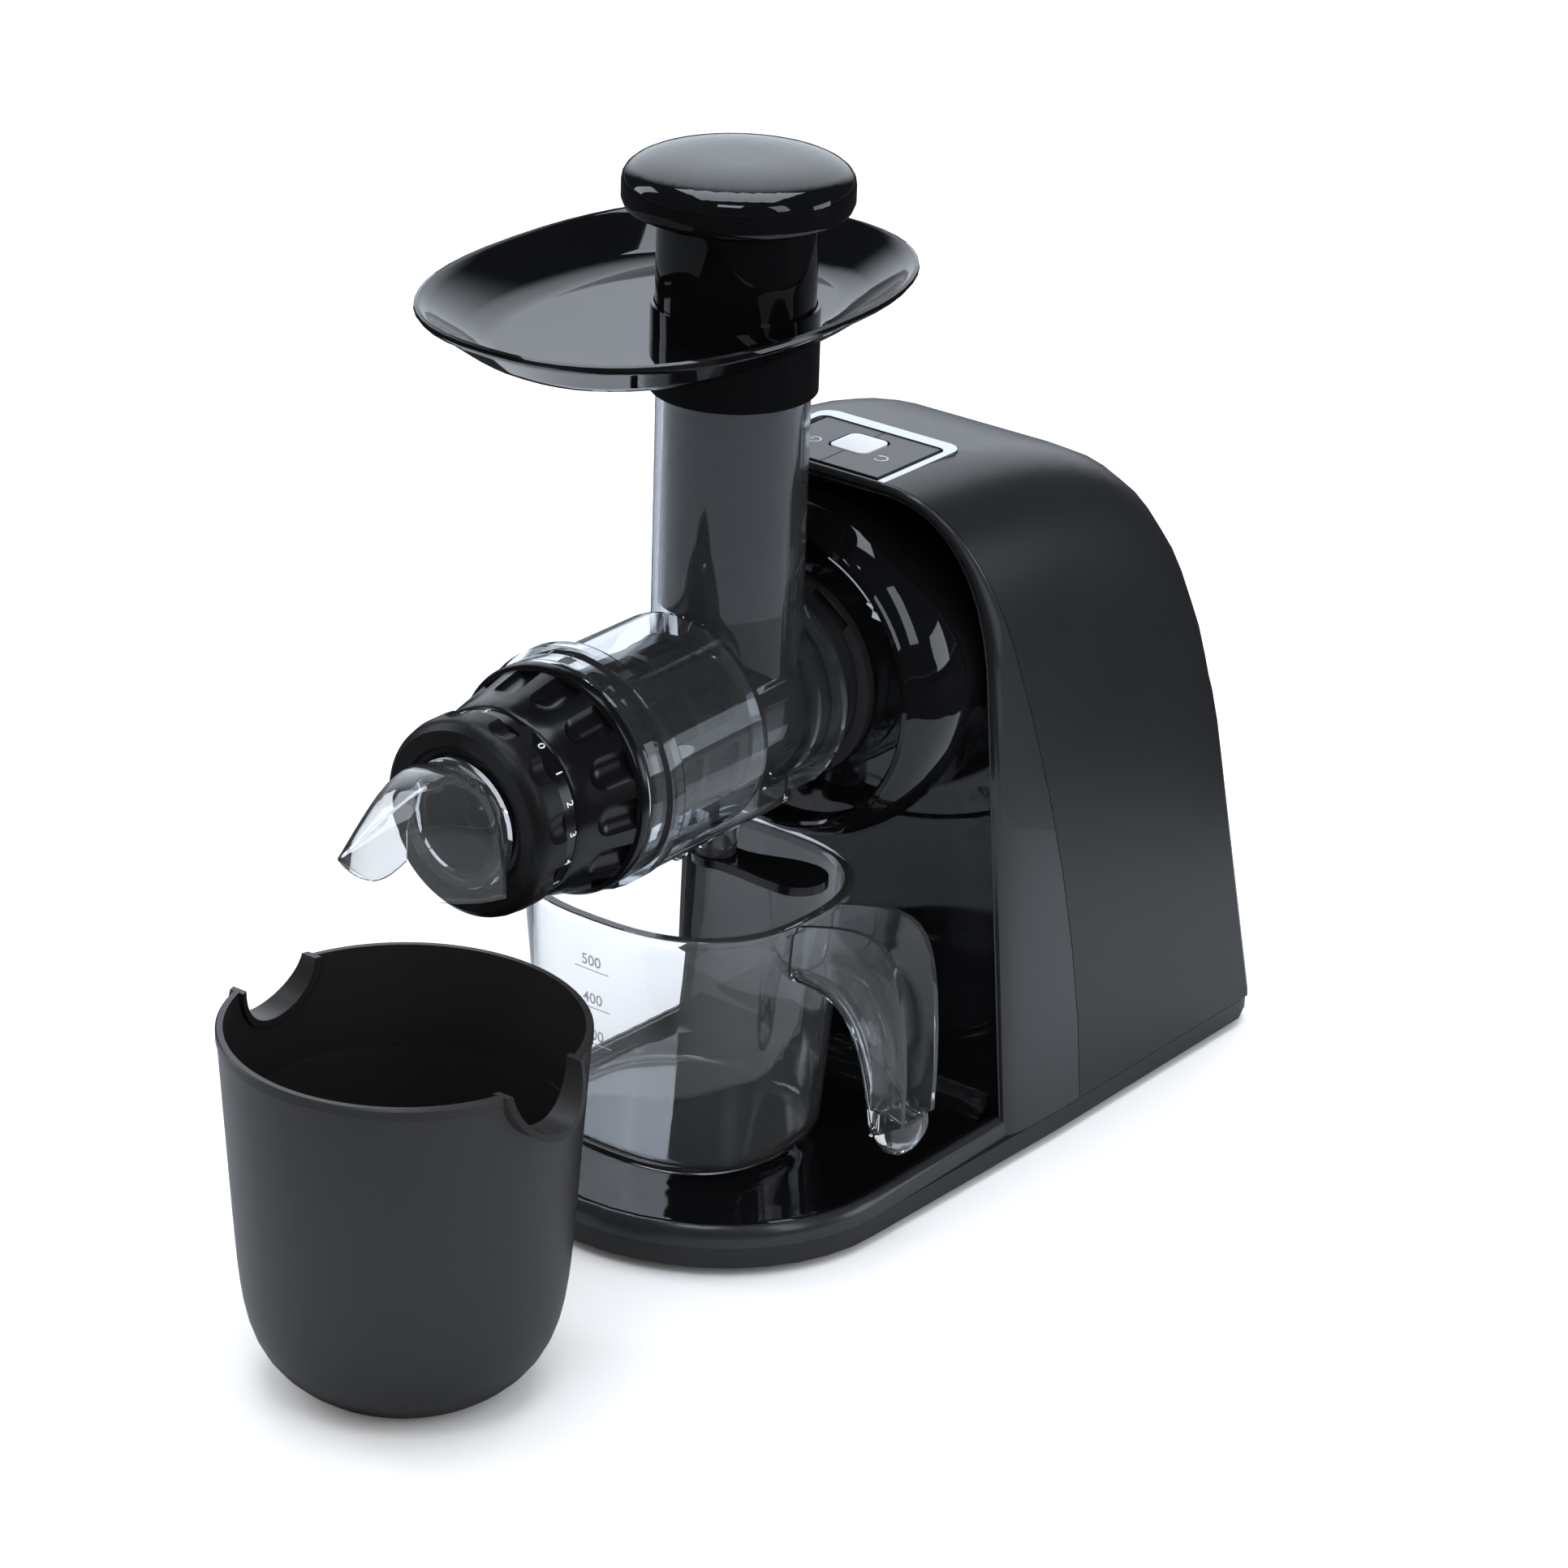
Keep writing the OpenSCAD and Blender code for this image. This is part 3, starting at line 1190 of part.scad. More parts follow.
// The handle is a channel that opens outwards: its lips follow one curve in the XZ plane
// and its web another
wall_x = jug_x + jug_half - 2.2;
rim_z = jug_z + jug_h;
handle_lips = [[wall_x, rim_z - 1.5], [wall_x + 46, rim_z + 13], [wall_x + 62, rim_z + 8],
    [wall_x + 59, jug_z + 34]];
handle_web = [[wall_x - 1, rim_z - 25], [wall_x + 24, rim_z - 24], [wall_x + 31, rim_z - 39],
    [wall_x + 36, jug_z + 24]];

// Cross section of the handle at s, from its root (0) to its tip (1)
function handle_ring(s) = let (
    p = bez(handle_lips, s),
    q = bez(handle_web, s),
    half = lerp(14, 10, s),
    t = 2.4,
    deep = norm(q - p),
    floor_d = (deep - t) * min(1, max(0.02, (1 - s) * 12)),
    section = [[half, 0], [half, deep - 6], [half - 2, deep - 2], [half - 6, deep],
        [6 - half, deep], [2 - half, deep - 2], [-half, deep - 6], [-half, 0],
        [t - half, 0], [t - half, floor_d * 0.72], [t + 1.4 - half, floor_d * 0.92],
        [t + 4 - half, floor_d], [half - t - 4, floor_d], [half - t - 1.4, floor_d * 0.92],
        [half - t, floor_d * 0.72], [half - t, 0]]
) [for (c = section) let (m = lerp(p, q, c[1] / deep)) [m[0], jug_y + 3 - c[0], m[1]]];

module juice_jug() {
    steps = 12;
    color([0.85, 0.88, 0.9, 0.4]) union() {
        skin([
            jug_ring(5, 0), jug_ring(1.8, 0.9), jug_ring(0.4, 3), jug_ring(0, 6),
            jug_ring(0, jug_h - 5), jug_ring(-1.6, jug_h - 2.6), jug_ring(-1.6, jug_h - 0.4),
            jug_ring(-1.2, jug_h), jug_ring(jug_wall - 0.4, jug_h), jug_ring(jug_wall, jug_h - 1),
            jug_ring(jug_wall, 8), jug_ring(jug_wall + 0.6, 5), jug_ring(jug_wall + 2.4, 3.2),
            jug_ring(jug_wall + 6, 2.6)]);
        wall_skin([for (i = [0:steps]) handle_ring(i / steps)]);
    }
}

// ---------- pulp container ----------

bin_x = 10;
bin_y = spout_tip + 22;
bin_notch_r = 17;
bin_notch_deep = 17;
notch_flare_h = 24;          // height of the notches' outward lips

// Outer radius of the container at height h
function bin_curve(h) = bin_r - 22 * pow(1 - min(1, h / bin_h), 11) - 9 * (1 - h / bin_h);

module pulp_container() {
    steps = 18;
    heights = [for (i = [0:steps]) (bin_h - 4) * pow(i / steps, 1.7)];
    inner_h = [for (i = [steps:-1:4]) heights[i]];
    color([0.12, 0.12, 0.125]) difference() {
        union() {
            translate([bin_x, bin_y, 0]) rotate_extrude($fn = round_fn) polygon(concat(
                [[0, 0]],
                [for (h = heights) [bin_curve(h), h]],
                [[bin_r + 0.2, bin_h - 3.4], [bin_r + 0.2, bin_h - 0.6], [bin_r - 0.4, bin_h],
                 [bin_r - bin_wall, bin_h]],
                [for (h = inner_h) [bin_curve(h) - bin_wall, h]],
                [[bin_curve(4) - 6, bin_wall + 1.4], [bin_curve(0) - 8, bin_wall], [0, bin_wall]]));
            intersection() {
                for (side = [-1, 1]) notch(side, bin_notch_r + 2.4, bin_r - 10, 24);
                translate([bin_x, bin_y, bin_h - notch_flare_h])
                    cylinder(r1 = bin_r + 8, r2 = bin_r + 1.4, h = notch_flare_h + 0.1, $fn = round_fn);
            }
        }
        for (side = [-1, 1]) notch(side, bin_notch_r, bin_r - 14, 30);
        translate([bin_x, bin_y, bin_h - 38])
            cylinder(r = bin_r - bin_wall - 2, h = 60, $fn = round_fn);
        translate([bin_x, bin_y, bin_h]) cylinder(r = bin_r + 30, h = 30);
    }
}

// A round-bottomed notch of radius r through the wall, from x0 outwards over a length l
module notch(side, r, x0, l) {
    translate([bin_x + side * x0, bin_y, bin_h]) rotate([0, side * 90, 0]) linear_extrude(l)
        union() {
            translate([side * (bin_notch_deep - bin_notch_r), 0]) circle(r = r, $fn = 64);
            translate([side > 0 ? -1 : bin_notch_r - bin_notch_deep, -r])
                square([bin_notch_deep - bin_notch_r + 1, 2 * r]);
        }
}

base_plate();
rubber_feet();
housing_screws();
front_fascia();
front_frame();
body_shell();
rear_cover();
cord_gland();
panel_frame();
rocker_switch();
rocker_inlay();
switch_block();
motor_bracket();
motor_can();
motor_shaft();
cooling_fan();
motor_pinion();
layshaft();
compound_gear();
gearbox_plate();
output_gear();
drive_shaft();
front_bearing();
rear_bearing();
bayonet_socket();
shaft_seal();
control_board();
juicing_chamber();
chamber_seal();
auger();
auger_insert();
juice_screen();
screen_mesh();
locking_nut();
adjusting_dial();
outlet_bush();
pulp_spout();
stop_lever();
lever_pin();
outlet_plug();
feed_tray();
pusher_cap();
pusher_stem();
juice_jug();
pulp_container();
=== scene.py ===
"""Looks of the cold press juicer: smooth skins, finishes, printed marks, light and camera."""
import logging
import math
from dataclasses import dataclass
from enum import Enum
from typing import Optional, Sequence, Union

import bmesh
import bpy
from mathutils import Matrix, Vector
from mathutils.bvhtree import BVHTree


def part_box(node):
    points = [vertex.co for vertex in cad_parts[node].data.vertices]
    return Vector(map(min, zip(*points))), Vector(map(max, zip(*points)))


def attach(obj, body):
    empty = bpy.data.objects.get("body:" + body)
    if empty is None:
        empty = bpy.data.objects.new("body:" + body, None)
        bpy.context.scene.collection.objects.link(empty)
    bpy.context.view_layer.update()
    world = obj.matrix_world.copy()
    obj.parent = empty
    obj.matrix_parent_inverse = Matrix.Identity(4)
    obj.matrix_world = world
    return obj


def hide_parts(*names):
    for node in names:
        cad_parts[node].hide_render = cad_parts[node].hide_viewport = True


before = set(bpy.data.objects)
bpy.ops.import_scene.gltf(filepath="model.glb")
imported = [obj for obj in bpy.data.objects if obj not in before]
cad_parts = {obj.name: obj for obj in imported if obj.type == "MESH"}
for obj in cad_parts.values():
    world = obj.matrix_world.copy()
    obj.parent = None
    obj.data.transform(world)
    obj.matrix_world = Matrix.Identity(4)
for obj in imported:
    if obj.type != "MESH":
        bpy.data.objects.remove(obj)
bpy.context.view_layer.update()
LOG = logging.getLogger("juicer")
AXIS_Z = 0.190                # height of the auger axis
WELD = 2e-5                   # vertices of a node closer than this are one
DIGIT_WELD = 1e-6             # vertices of a digit closer than this are one
DIGIT_SIZE = 1.45             # font size of a digit, in heights of the digit
DIGIT_WEIGHT = 0.012          # how much bolder a digit gets, in heights of the digit
INK_LIFT = 0.00006            # how far printed ink stands off its surface
MOULDED_LIFT = 0.00025        # how far a moulded mark stands off its surface
COOL = (0.90, 0.975, 1.075)   # tint of the lights and of what the gloss reflects


# ---------- shader maths ----------

class Wire:
    """A shader socket that takes part in Python arithmetic."""

    def __init__(self, nodes: "Nodes", socket: bpy.types.NodeSocket) -> None:
        """Keeps the socket and the tree that it belongs to."""
        self.nodes = nodes
        self.socket = socket

    def _maths(self, operation: str, first: object, second: object) -> "Wire":
        """Adds one Math node.

        Args:
            operation: The node's operation.
            first: First value or wire.
            second: Second value or wire.

        Returns:
            The node's result.
        """
        return self.nodes.wire("ShaderNodeMath", 0, {"operation": operation},
                               {0: first, 1: second})

    def __add__(self, other: object) -> "Wire":
        """Sum with a value or wire."""
        return self._maths("ADD", self, other)

    __radd__ = __add__

    def __mul__(self, other: object) -> "Wire":
        """Product with a value or wire."""
        return self._maths("MULTIPLY", self, other)

    __rmul__ = __mul__

    def __sub__(self, other: object) -> "Wire":
        """Difference to a value or wire."""
        return self._maths("SUBTRACT", self, other)

    def __rsub__(self, other: object) -> "Wire":
        """Difference of a value and this wire."""
        return self._maths("SUBTRACT", other, self)

    def __gt__(self, other: object) -> "Wire":
        """1 where this wire is greater than a value or wire, else 0."""
        return self._maths("GREATER_THAN", self, other)


class Nodes:
    """A node tree, which is filled through one method."""

    def __init__(self, tree: bpy.types.NodeTree) -> None:
        """Takes the tree of a material or a world."""
        self.tree = tree

    def link(self, start: bpy.types.NodeSocket, end: bpy.types.NodeSocket) -> None:
        """Links two sockets."""
        self.tree.links.new(start, end)

    def feed(self, socket: bpy.types.NodeSocket, value: object) -> None:
        """Sets a socket to a value, or links it to a wire.

        Args:
            socket: The socket.
            value: The value or wire.
        """
        if isinstance(value, Wire):
            self.link(value.socket, socket)
        else:
            socket.default_value = value

    def add(self, kind: str, settings: Optional[dict] = None,
            inputs: Optional[dict] = None) -> bpy.types.Node:
        """Adds any node.

        Args:
            kind: The node's type.
            settings: Attributes that are set first.
            inputs: Values or wires of its sockets, by name or number.

        Returns:
            The new node.
        """
        made = self.tree.nodes.new(kind)
        for key, value in (settings or {}).items():
            setattr(made, key, value)
        for key, value in (inputs or {}).items():
            self.feed(made.inputs[key], value)
        return made

    def wire(self, kind: str, output: Union[int, str], settings: Optional[dict] = None,
             inputs: Optional[dict] = None) -> Wire:
        """Adds any node and takes one of its outputs.

        Args:
            kind: The node's type.
            output: Name or number of the output.
            settings: Attributes that are set first.
            inputs: Values or wires of its sockets, by name or number.

        Returns:
            The output.
        """
        return Wire(self, self.add(kind, settings, inputs).outputs[output])

    def blend(self, mask: Wire, low: Sequence[float], high: Sequence[float]) -> Wire:
        """A colour between low and high by mask."""
        return self.wire("ShaderNodeMix", 2, {"data_type": "RGBA"},
                         {0: mask, 6: (*low, 1), 7: (*high, 1)})


class Graph(Nodes):
    """The node tree of one material, with its Principled shader."""

    def __init__(self, name: str) -> None:
        """Makes a material with an output and a Principled shader.

        Args:
            name: Name of the material.
        """
        self.material = bpy.data.materials.new(name)
        self.material.use_nodes = True
        super().__init__(self.material.node_tree)
        self.tree.nodes.clear()
        output = self.add("ShaderNodeOutputMaterial")
        self.shader = self.add("ShaderNodeBsdfPrincipled")
        self.link(self.shader.outputs[0], output.inputs[0])
        self.coords = self.wire("ShaderNodeTexCoord", "Object")

    def noise(self, scale: float, detail: float,
              stretch: Sequence[float] = (1, 1, 1)) -> Wire:
        """A noise pattern in object space.

        Args:
            scale: Cells per metre.
            detail: Octaves.
            stretch: Scale of the coordinates along X, Y and Z.

        Returns:
            The pattern's height, about 0 to 1.
        """
        spread = self.wire("ShaderNodeMapping", 0, None,
                           {"Vector": self.coords, "Scale": stretch})
        return self.wire("ShaderNodeTexNoise", "Fac", None,
                         {"Vector": spread, "Scale": scale, "Detail": detail})

    def bump(self, height: Wire, depth: float) -> None:
        """Feeds a height pattern to the shader's normal."""
        self.put("Normal", self.wire("ShaderNodeBump", 0, None, {
            "Strength": 1.0, "Distance": depth, "Height": height}))

    def put(self, name: str, value: object) -> None:
        """Sets or links one socket of the shader."""
        self.feed(self.shader.inputs[name], value)


def shade(colour: Sequence[float], share: float) -> tuple:
    """A colour made darker or lighter by a share."""
    return tuple(c * share for c in colour)


# ---------- finishes ----------

@dataclass(frozen=True)
class Moulding:
    """An opaque plastic: fine grain, a slow change of gloss and colour, and a thin coat."""

    name: str
    colour: tuple
    roughness: float
    grain: float = 0.0            # depth of the fine grain in metres
    grain_scale: float = 2600.0   # grains per metre
    wave: float = 0.0             # depth of the slow waviness in metres
    wave_scale: float = 55.0      # waves per metre
    coat: float = 0.0
    coat_roughness: float = 0.03
    specular: float = 0.5
    patches: float = 14.0         # slow changes of gloss and colour per metre
    gloss_spread: float = 0.05    # change of roughness over the surface
    shades: tuple = (0.9, 1.12)   # darkest and lightest share of the colour

    def material(self) -> bpy.types.Material:
        """Builds the finish's material.

        Returns:
            The material.
        """
        graph = Graph(self.name)
        slow = graph.noise(self.patches, 4)
        fine = graph.noise(self.grain_scale, 2)
        graph.put("Base Color", graph.blend(
            slow, *(shade(self.colour, share) for share in self.shades)))
        graph.put("Roughness",
                  slow * self.gloss_spread + (self.roughness - self.gloss_spread / 2))
        graph.put("Coat Weight", self.coat)
        graph.put("Coat Roughness", self.coat_roughness)
        graph.put("Specular IOR Level", self.specular)
        if self.grain > 0 or self.wave > 0:
            waves = graph.noise(self.wave_scale, 1)
            graph.bump(fine * self.grain + waves * self.wave, 1.0)
        return graph.material


@dataclass(frozen=True)
class Clear:
    """A see-through plastic with a tint, a slight waviness and faint changes of gloss."""

    name: str
    tint: tuple
    clarity: float = 0.982        # share of light that isn't scattered by haze
    roughness: float = 0.004
    index: float = 1.47           # refractive index
    wave: float = 0.000012        # depth of the slow waviness in metres
    wave_scale: float = 38.0      # waves per metre
    patches: float = 30.0         # slow changes of gloss and tint per metre
    gloss_spread: float = 0.008   # change of roughness over the surface
    dark: float = 0.96            # darkest share of the tint

    def material(self) -> bpy.types.Material:
        """Builds the finish's material.

        Returns:
            The material.
        """
        graph = Graph(self.name)
        slow = graph.noise(self.patches, 2)
        graph.put("Base Color", graph.blend(slow, shade(self.tint, self.dark), self.tint))
        graph.put("Roughness", slow * self.gloss_spread + self.roughness)
        graph.put("Transmission Weight", self.clarity)
        graph.put("IOR", self.index)
        graph.bump(graph.noise(self.wave_scale, 1), self.wave)
        return graph.material


@dataclass(frozen=True)
class Metal:
    """A bare metal with fine lines along one direction."""

    name: str
    colour: tuple
    roughness: float
    stretch: tuple = (1, 60, 60)  # how much finer the lines are along X, Y and Z
    lines: float = 0.000004       # depth of the lines in metres
    line_scale: float = 60.0      # changes along the lines per metre
    gloss_spread: float = 0.12    # change of roughness over the surface
    dark: float = 0.92            # darkest share of the colour

    def material(self) -> bpy.types.Material:
        """Builds the finish's material.

        Returns:
            The material.
        """
        graph = Graph(self.name)
        brushed = graph.noise(self.line_scale, 3, self.stretch)
        graph.put("Base Color", graph.blend(
            brushed, shade(self.colour, self.dark), self.colour))
        graph.put("Metallic", 1.0)
        graph.put("Roughness",
                  brushed * self.gloss_spread + (self.roughness - self.gloss_spread / 2))
        graph.bump(brushed, self.lines)
        return graph.material


@dataclass(frozen=True)
class MarkOrPaintedShade:
    """A printed or moulded mark, or a line of painted shade, with slightly uneven gloss and
    colour.
    """

    name: str
    colour: tuple
    roughness: float = 0.45       # at its glossiest
    specks: float = 900.0         # changes of gloss and colour per metre
    gloss_spread: float = 0.1     # change of roughness over the surface
    dark: float = 0.9             # darkest share of the colour

    def material(self) -> bpy.types.Material:
        """Builds the finish's material.

        Returns:
            The material.
        """
        graph = Graph(self.name)
        speck = graph.noise(self.specks, 2)
        graph.put("Base Color", graph.blend(
            speck, shade(self.colour, self.dark), self.colour))
        graph.put("Roughness", speck * self.gloss_spread + self.roughness)
        return graph.material


ALONG_Y = (60, 1, 60)         # stretch of a metal whose lines run along Y
MADE: dict = {}               # materials made so far, by the names of their looks


class Look(Enum):
    """The finishes of the juicer, by what they cover."""

    BODY = Moulding("soft_black_body", (0.0115, 0.0118, 0.0130), 0.34, 0.000012, 2400,
                    gloss_spread=0.06, specular=0.42)
    FRAME = Moulding("satin_black_frame", (0.0170, 0.0177, 0.0196), 0.27, 0.000005, 2400,
                     coat=0.15)
    GLOSS = Moulding("gloss_black_shell", (0.0028, 0.0029, 0.0032), 0.04, 0, 2400, 0.00001,
                     gloss_spread=0.03)
    NUT = Moulding("satin_black_nut", (0.0032, 0.0033, 0.0037), 0.2, 0.000006, 2400,
                   specular=0.4)
    DIAL = Moulding("matt_black_dial", (0.0042, 0.0042, 0.0045), 0.38, 0.00001,
                    specular=0.3)
    BIN = Moulding("matt_grey_bin", (0.0165, 0.0160, 0.0162), 0.38, 0.000012, 2800,
                   specular=0.42)
    BASE = Moulding("matt_black_base", (0.012, 0.012, 0.013), 0.45, 0.00001, 2400)
    KEY = Moulding("satin_black_key", (0.017, 0.0175, 0.019), 0.3, 0.000005)
    INLAY = Moulding("pale_silver_inlay", (0.66, 0.68, 0.73), 0.3, 0.000003, coat=0.2)
    NYLON = Moulding("natural_nylon", (0.62, 0.6, 0.5), 0.45, 0.000006, 1800)
    BOARD = Moulding("green_board", (0.02, 0.12, 0.06), 0.4)
    INNER = Moulding("inner_black", (0.02, 0.02, 0.022), 0.5, 0.00001, 2000)
    RUBBER = Moulding("black_rubber", (0.02, 0.02, 0.02), 0.65, 0.00002, 1500,
                      gloss_spread=0.1)
    SEAL = Moulding("dark_silicone", (0.03, 0.031, 0.033), 0.4, 0.000006, 1500)
    PLUG = Moulding("black_plug", (0.02, 0.02, 0.021), 0.4, 0.00001, 1500)
    SCREEN = Moulding("dark_screen", (0.003, 0.003, 0.0034), 0.3, 0.000006, 2400,
                      specular=0.3)
    SMOKE = Clear("smoke_clear", (0.80, 0.83, 0.86), 0.985)
    CLEAR = Clear("water_clear", (0.94, 0.955, 0.968))
    SILVER = Metal("satin_silver", (0.66, 0.68, 0.72), 0.36)
    STEEL = Metal("bright_steel", (0.6, 0.61, 0.63), 0.3, ALONG_Y)
    MESH = Metal("dark_steel_mesh", (0.012, 0.012, 0.013), 0.4, ALONG_Y)
    BRASS = Metal("plain_brass", (0.62, 0.45, 0.18), 0.3, ALONG_Y)
    CAST = Metal("cast_plate", (0.42, 0.43, 0.45), 0.5, (20, 20, 20), 0.00002)
    WHITE = MarkOrPaintedShade("white_print", (0.74, 0.78, 0.84))
    GREY = MarkOrPaintedShade("grey_print", (0.42, 0.44, 0.47))
    MOULDED = MarkOrPaintedShade("moulded_mark", (0.085, 0.09, 0.1))
    # painted shade: a near-black line stands for the shade in the split between the key's
    # halves
    SEAM = MarkOrPaintedShade("painted_seam_shade", (0.004, 0.004, 0.004))

    def material(self) -> bpy.types.Material:
        """The finish's material, made on its first use.

        Returns:
            The material.
        """
        if self.name not in MADE:
            MADE[self.name] = self.value.material()
        return MADE[self.name]


# ---------- pieces ----------

def clamp(value: float) -> float:
    """The value kept between 0 and 1."""
    return min(1.0, max(0.0, value))


def in_scene(bm: bmesh.types.BMesh, name: str,
             material: bpy.types.Material) -> bpy.types.Object:
    """Turns a bmesh into an object of the scene, at the origin.

    Args:
        bm: The mesh, freed here.
        name: Name of the object and its mesh.
        material: Its only material.

    Returns:
        The object.
    """
    mesh = bpy.data.meshes.new(name)
    bm.to_mesh(mesh)
    bm.free()
    if "custom_normal" in mesh.attributes:
        mesh.attributes.remove(mesh.attributes["custom_normal"])
    mesh.materials.clear()
    mesh.materials.append(material)
    made = bpy.data.objects.new(name, mesh)
    bpy.context.scene.collection.objects.link(made)
    return made


def as_piece(bm: bmesh.types.BMesh, name: str, look: Look, body: str) -> bpy.types.Object:
    """Turns a bmesh into a finished piece that rides on a body.

    Args:
        bm: The mesh, freed here.
        name: Name of the piece.
        look: Its finish.
        body: The CAD body it moves with.

    Returns:
        The piece.
    """
    piece = in_scene(bm, name, look.material())
    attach(piece, body)
    return piece


def crease(bm: bmesh.types.BMesh, degrees: float) -> None:
    """Smooths every face and keeps sharp edges sharp.

    Args:
        bm: The mesh.
        degrees: Angle from which an edge is sharp.
    """
    limit = math.radians(degrees)
    for face in bm.faces:
        face.smooth = True
    for edge in bm.edges:
        edge.smooth = len(edge.link_faces) == 2 and edge.calc_face_angle(0) < limit


@dataclass
class SubAssembly:
    """A group of CAD nodes on one body, with the finish of each."""

    body: str
    looks: dict
    angle: float = 32.0           # edges sharper than this stay sharp, in degrees

    def build(self) -> list:
        """Dresses every node of the group and adds its details.

        Returns:
            The group's pieces.
        """
        skins = [self._dress(node, look) for node, look in self.looks.items()]
        return skins + self.details()

    def _dress(self, node: str, look: Look) -> bpy.types.Object:
        """Makes a node's skin: its mesh welded, smoothed and finished, which stands for it.

        Args:
            node: Name of the CAD node.
            look: Its finish.

        Returns:
            The skin.
        """
        bm = bmesh.new()
        bm.from_mesh(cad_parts[node].data)
        bmesh.ops.remove_doubles(bm, verts=bm.verts, dist=WELD)
        bmesh.ops.dissolve_degenerate(bm, edges=bm.edges, dist=WELD / 4)
        self.reshape(node, bm)
        crease(bm, self.angle)
        skin = as_piece(bm, node + "_skin", look, self.body)
        skin.modifiers.new("weighted", "WEIGHTED_NORMAL").keep_sharp = True
        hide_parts(node)
        return skin

    def reshape(self, node: str, bm: bmesh.types.BMesh) -> None:
        """Refines the shape of a node's skin, where it needs that."""

    def details(self) -> list:
        """Adds the pieces that the CAD model leaves to the looks."""
        return []


# ---------- printed and moulded marks, and lines of painted shade, flat in the XY plane ---

def glyphs(text: str, height: float) -> bmesh.types.BMesh:
    """Flat digits, centred on the origin.

    Args:
        text: What to write.
        height: Height of a digit in metres.

    Returns:
        The faces of the digits.
    """
    curve = bpy.data.curves.new("glyph", "FONT")
    curve.body = text
    curve.align_x = "CENTER"
    curve.align_y = "CENTER"
    curve.size = height * DIGIT_SIZE
    curve.resolution_u = 4
    curve.offset = height * DIGIT_WEIGHT
    holder = bpy.data.objects.new("glyph", curve)
    bpy.context.scene.collection.objects.link(holder)
    bpy.context.view_layer.update()
    mesh = holder.evaluated_get(bpy.context.evaluated_depsgraph_get()).to_mesh()
    bm = bmesh.new()
    bm.from_mesh(mesh)
    bpy.data.objects.remove(holder)
    bpy.data.curves.remove(curve)
    bmesh.ops.remove_doubles(bm, verts=bm.verts, dist=DIGIT_WELD)
    return bm


def bar(start: Sequence[float], end: Sequence[float], width: float,
        parts: int = 8) -> bmesh.types.BMesh:
    """A flat line from one point to another.

    Args:
        start: X and Y of its start.
        end: X and Y of its end.
        width: Width of the line.
        parts: Number of faces along it.

    Returns:
        The line's faces.
    """
    bm = bmesh.new()
    bmesh.ops.create_grid(bm, x_segments=parts, y_segments=1, size=0.5)
    first, last = Vector((*start, 0)), Vector((*end, 0))
    way = last - first
    fit = (Matrix.Translation((first + last) / 2)
           @ Matrix.Rotation(math.atan2(way.y, way.x), 4, "Z")
           @ Matrix.Diagonal((way.length, width, 1, 1)))
    bmesh.ops.transform(bm, matrix=fit, verts=bm.verts)
    return bm


def outwards(degrees: float) -> Vector:
    """Direction at an angle from +Y, clockwise."""
    turn = math.radians(degrees)
    return Vector((math.sin(turn), math.cos(turn), 0))


def arc(radius: float, width: float, start: float, end: float,
        steps: int = 20) -> bmesh.types.BMesh:
    """A flat arc round the origin.

    Args:
        radius: Radius of its middle line.
        width: Width of the line.
        start: Angle of its start from +Y, clockwise, in degrees.
        end: Angle of its end.
        steps: Number of faces along it.

    Returns:
        The arc's faces.
    """
    bm = bmesh.new()
    way = outwards(start)
    ends = [bm.verts.new(way * (radius + side * width / 2)) for side in (-1, 1)]
    edge = bm.edges.new(ends)
    bmesh.ops.spin(bm, geom=[*ends, edge], cent=(0, 0, 0), axis=(0, 0, 1),
                   angle=-math.radians(end - start), steps=steps)
    return bm


def head(radius: float, at: float, size: float,
         clockwise: bool = True) -> bmesh.types.BMesh:
    """An arrow head at the end of an arc.

    Args:
        radius: Radius of the arc.
        at: Angle of the arc's end from +Y, clockwise, in degrees.
        size: Length of the head.
        clockwise: Which way it points.

    Returns:
        The head's face.
    """
    out = outwards(at)
    ahead = Vector((out.y, -out.x, 0)) * (1 if clockwise else -1)
    wing, heel = out * size * 0.4, ahead * size * 0.2
    bm = bmesh.new()
    bm.faces.new([bm.verts.new(out * radius + step)
                  for step in (wing - heel, -wing - heel, ahead * size)])
    return bm


def together(*parts: bmesh.types.BMesh) -> bmesh.types.BMesh:
    """Joins several meshes.

    Args:
        parts: The meshes, freed here.

    Returns:
        One mesh with the faces of all.
    """
    whole = bmesh.new()
    for part in parts:
        mesh = bpy.data.meshes.new("part")
        part.to_mesh(mesh)
        part.free()
        whole.from_mesh(mesh)
        bpy.data.meshes.remove(mesh)
    return whole


def moved(bm: bmesh.types.BMesh, x: float, y: float, turn: float = 0.0) -> bmesh.types.BMesh:
    """Turns a flat mark and moves it.

    Args:
        bm: The mark.
        x: Way along X.
        y: Way along Y.
        turn: Angle of the turn, anticlockwise, in degrees.

    Returns:
        The same mark.
    """
    place = Matrix.Translation((x, y, 0)) @ Matrix.Rotation(math.radians(turn), 4, "Z")
    bmesh.ops.transform(bm, matrix=place, verts=bm.verts)
    return bm


def padlock(size: float, opened: bool) -> bmesh.types.BMesh:
    """A padlock, centred on the origin.

    Args:
        size: Side of its body.
        opened: Whether its hoop stands open, beside the body.

    Returns:
        The padlock's faces.
    """
    wide, line, foot = size * 0.3, size * 0.13, size * 0.4
    aside = -wide * 1.6 if opened else 0.0
    lift = size * (0.85 if opened else 0.6)
    parts = [bar((-size / 2, 0), (size / 2, 0), size, 2),
             moved(arc(wide, line, -90, 90, 8), aside, lift),
             bar((aside + wide, foot), (aside + wide, lift), line, 1)]
    if not opened:
        parts.append(bar((-wide, foot), (-wide, lift), line, 1))
    return together(*parts)


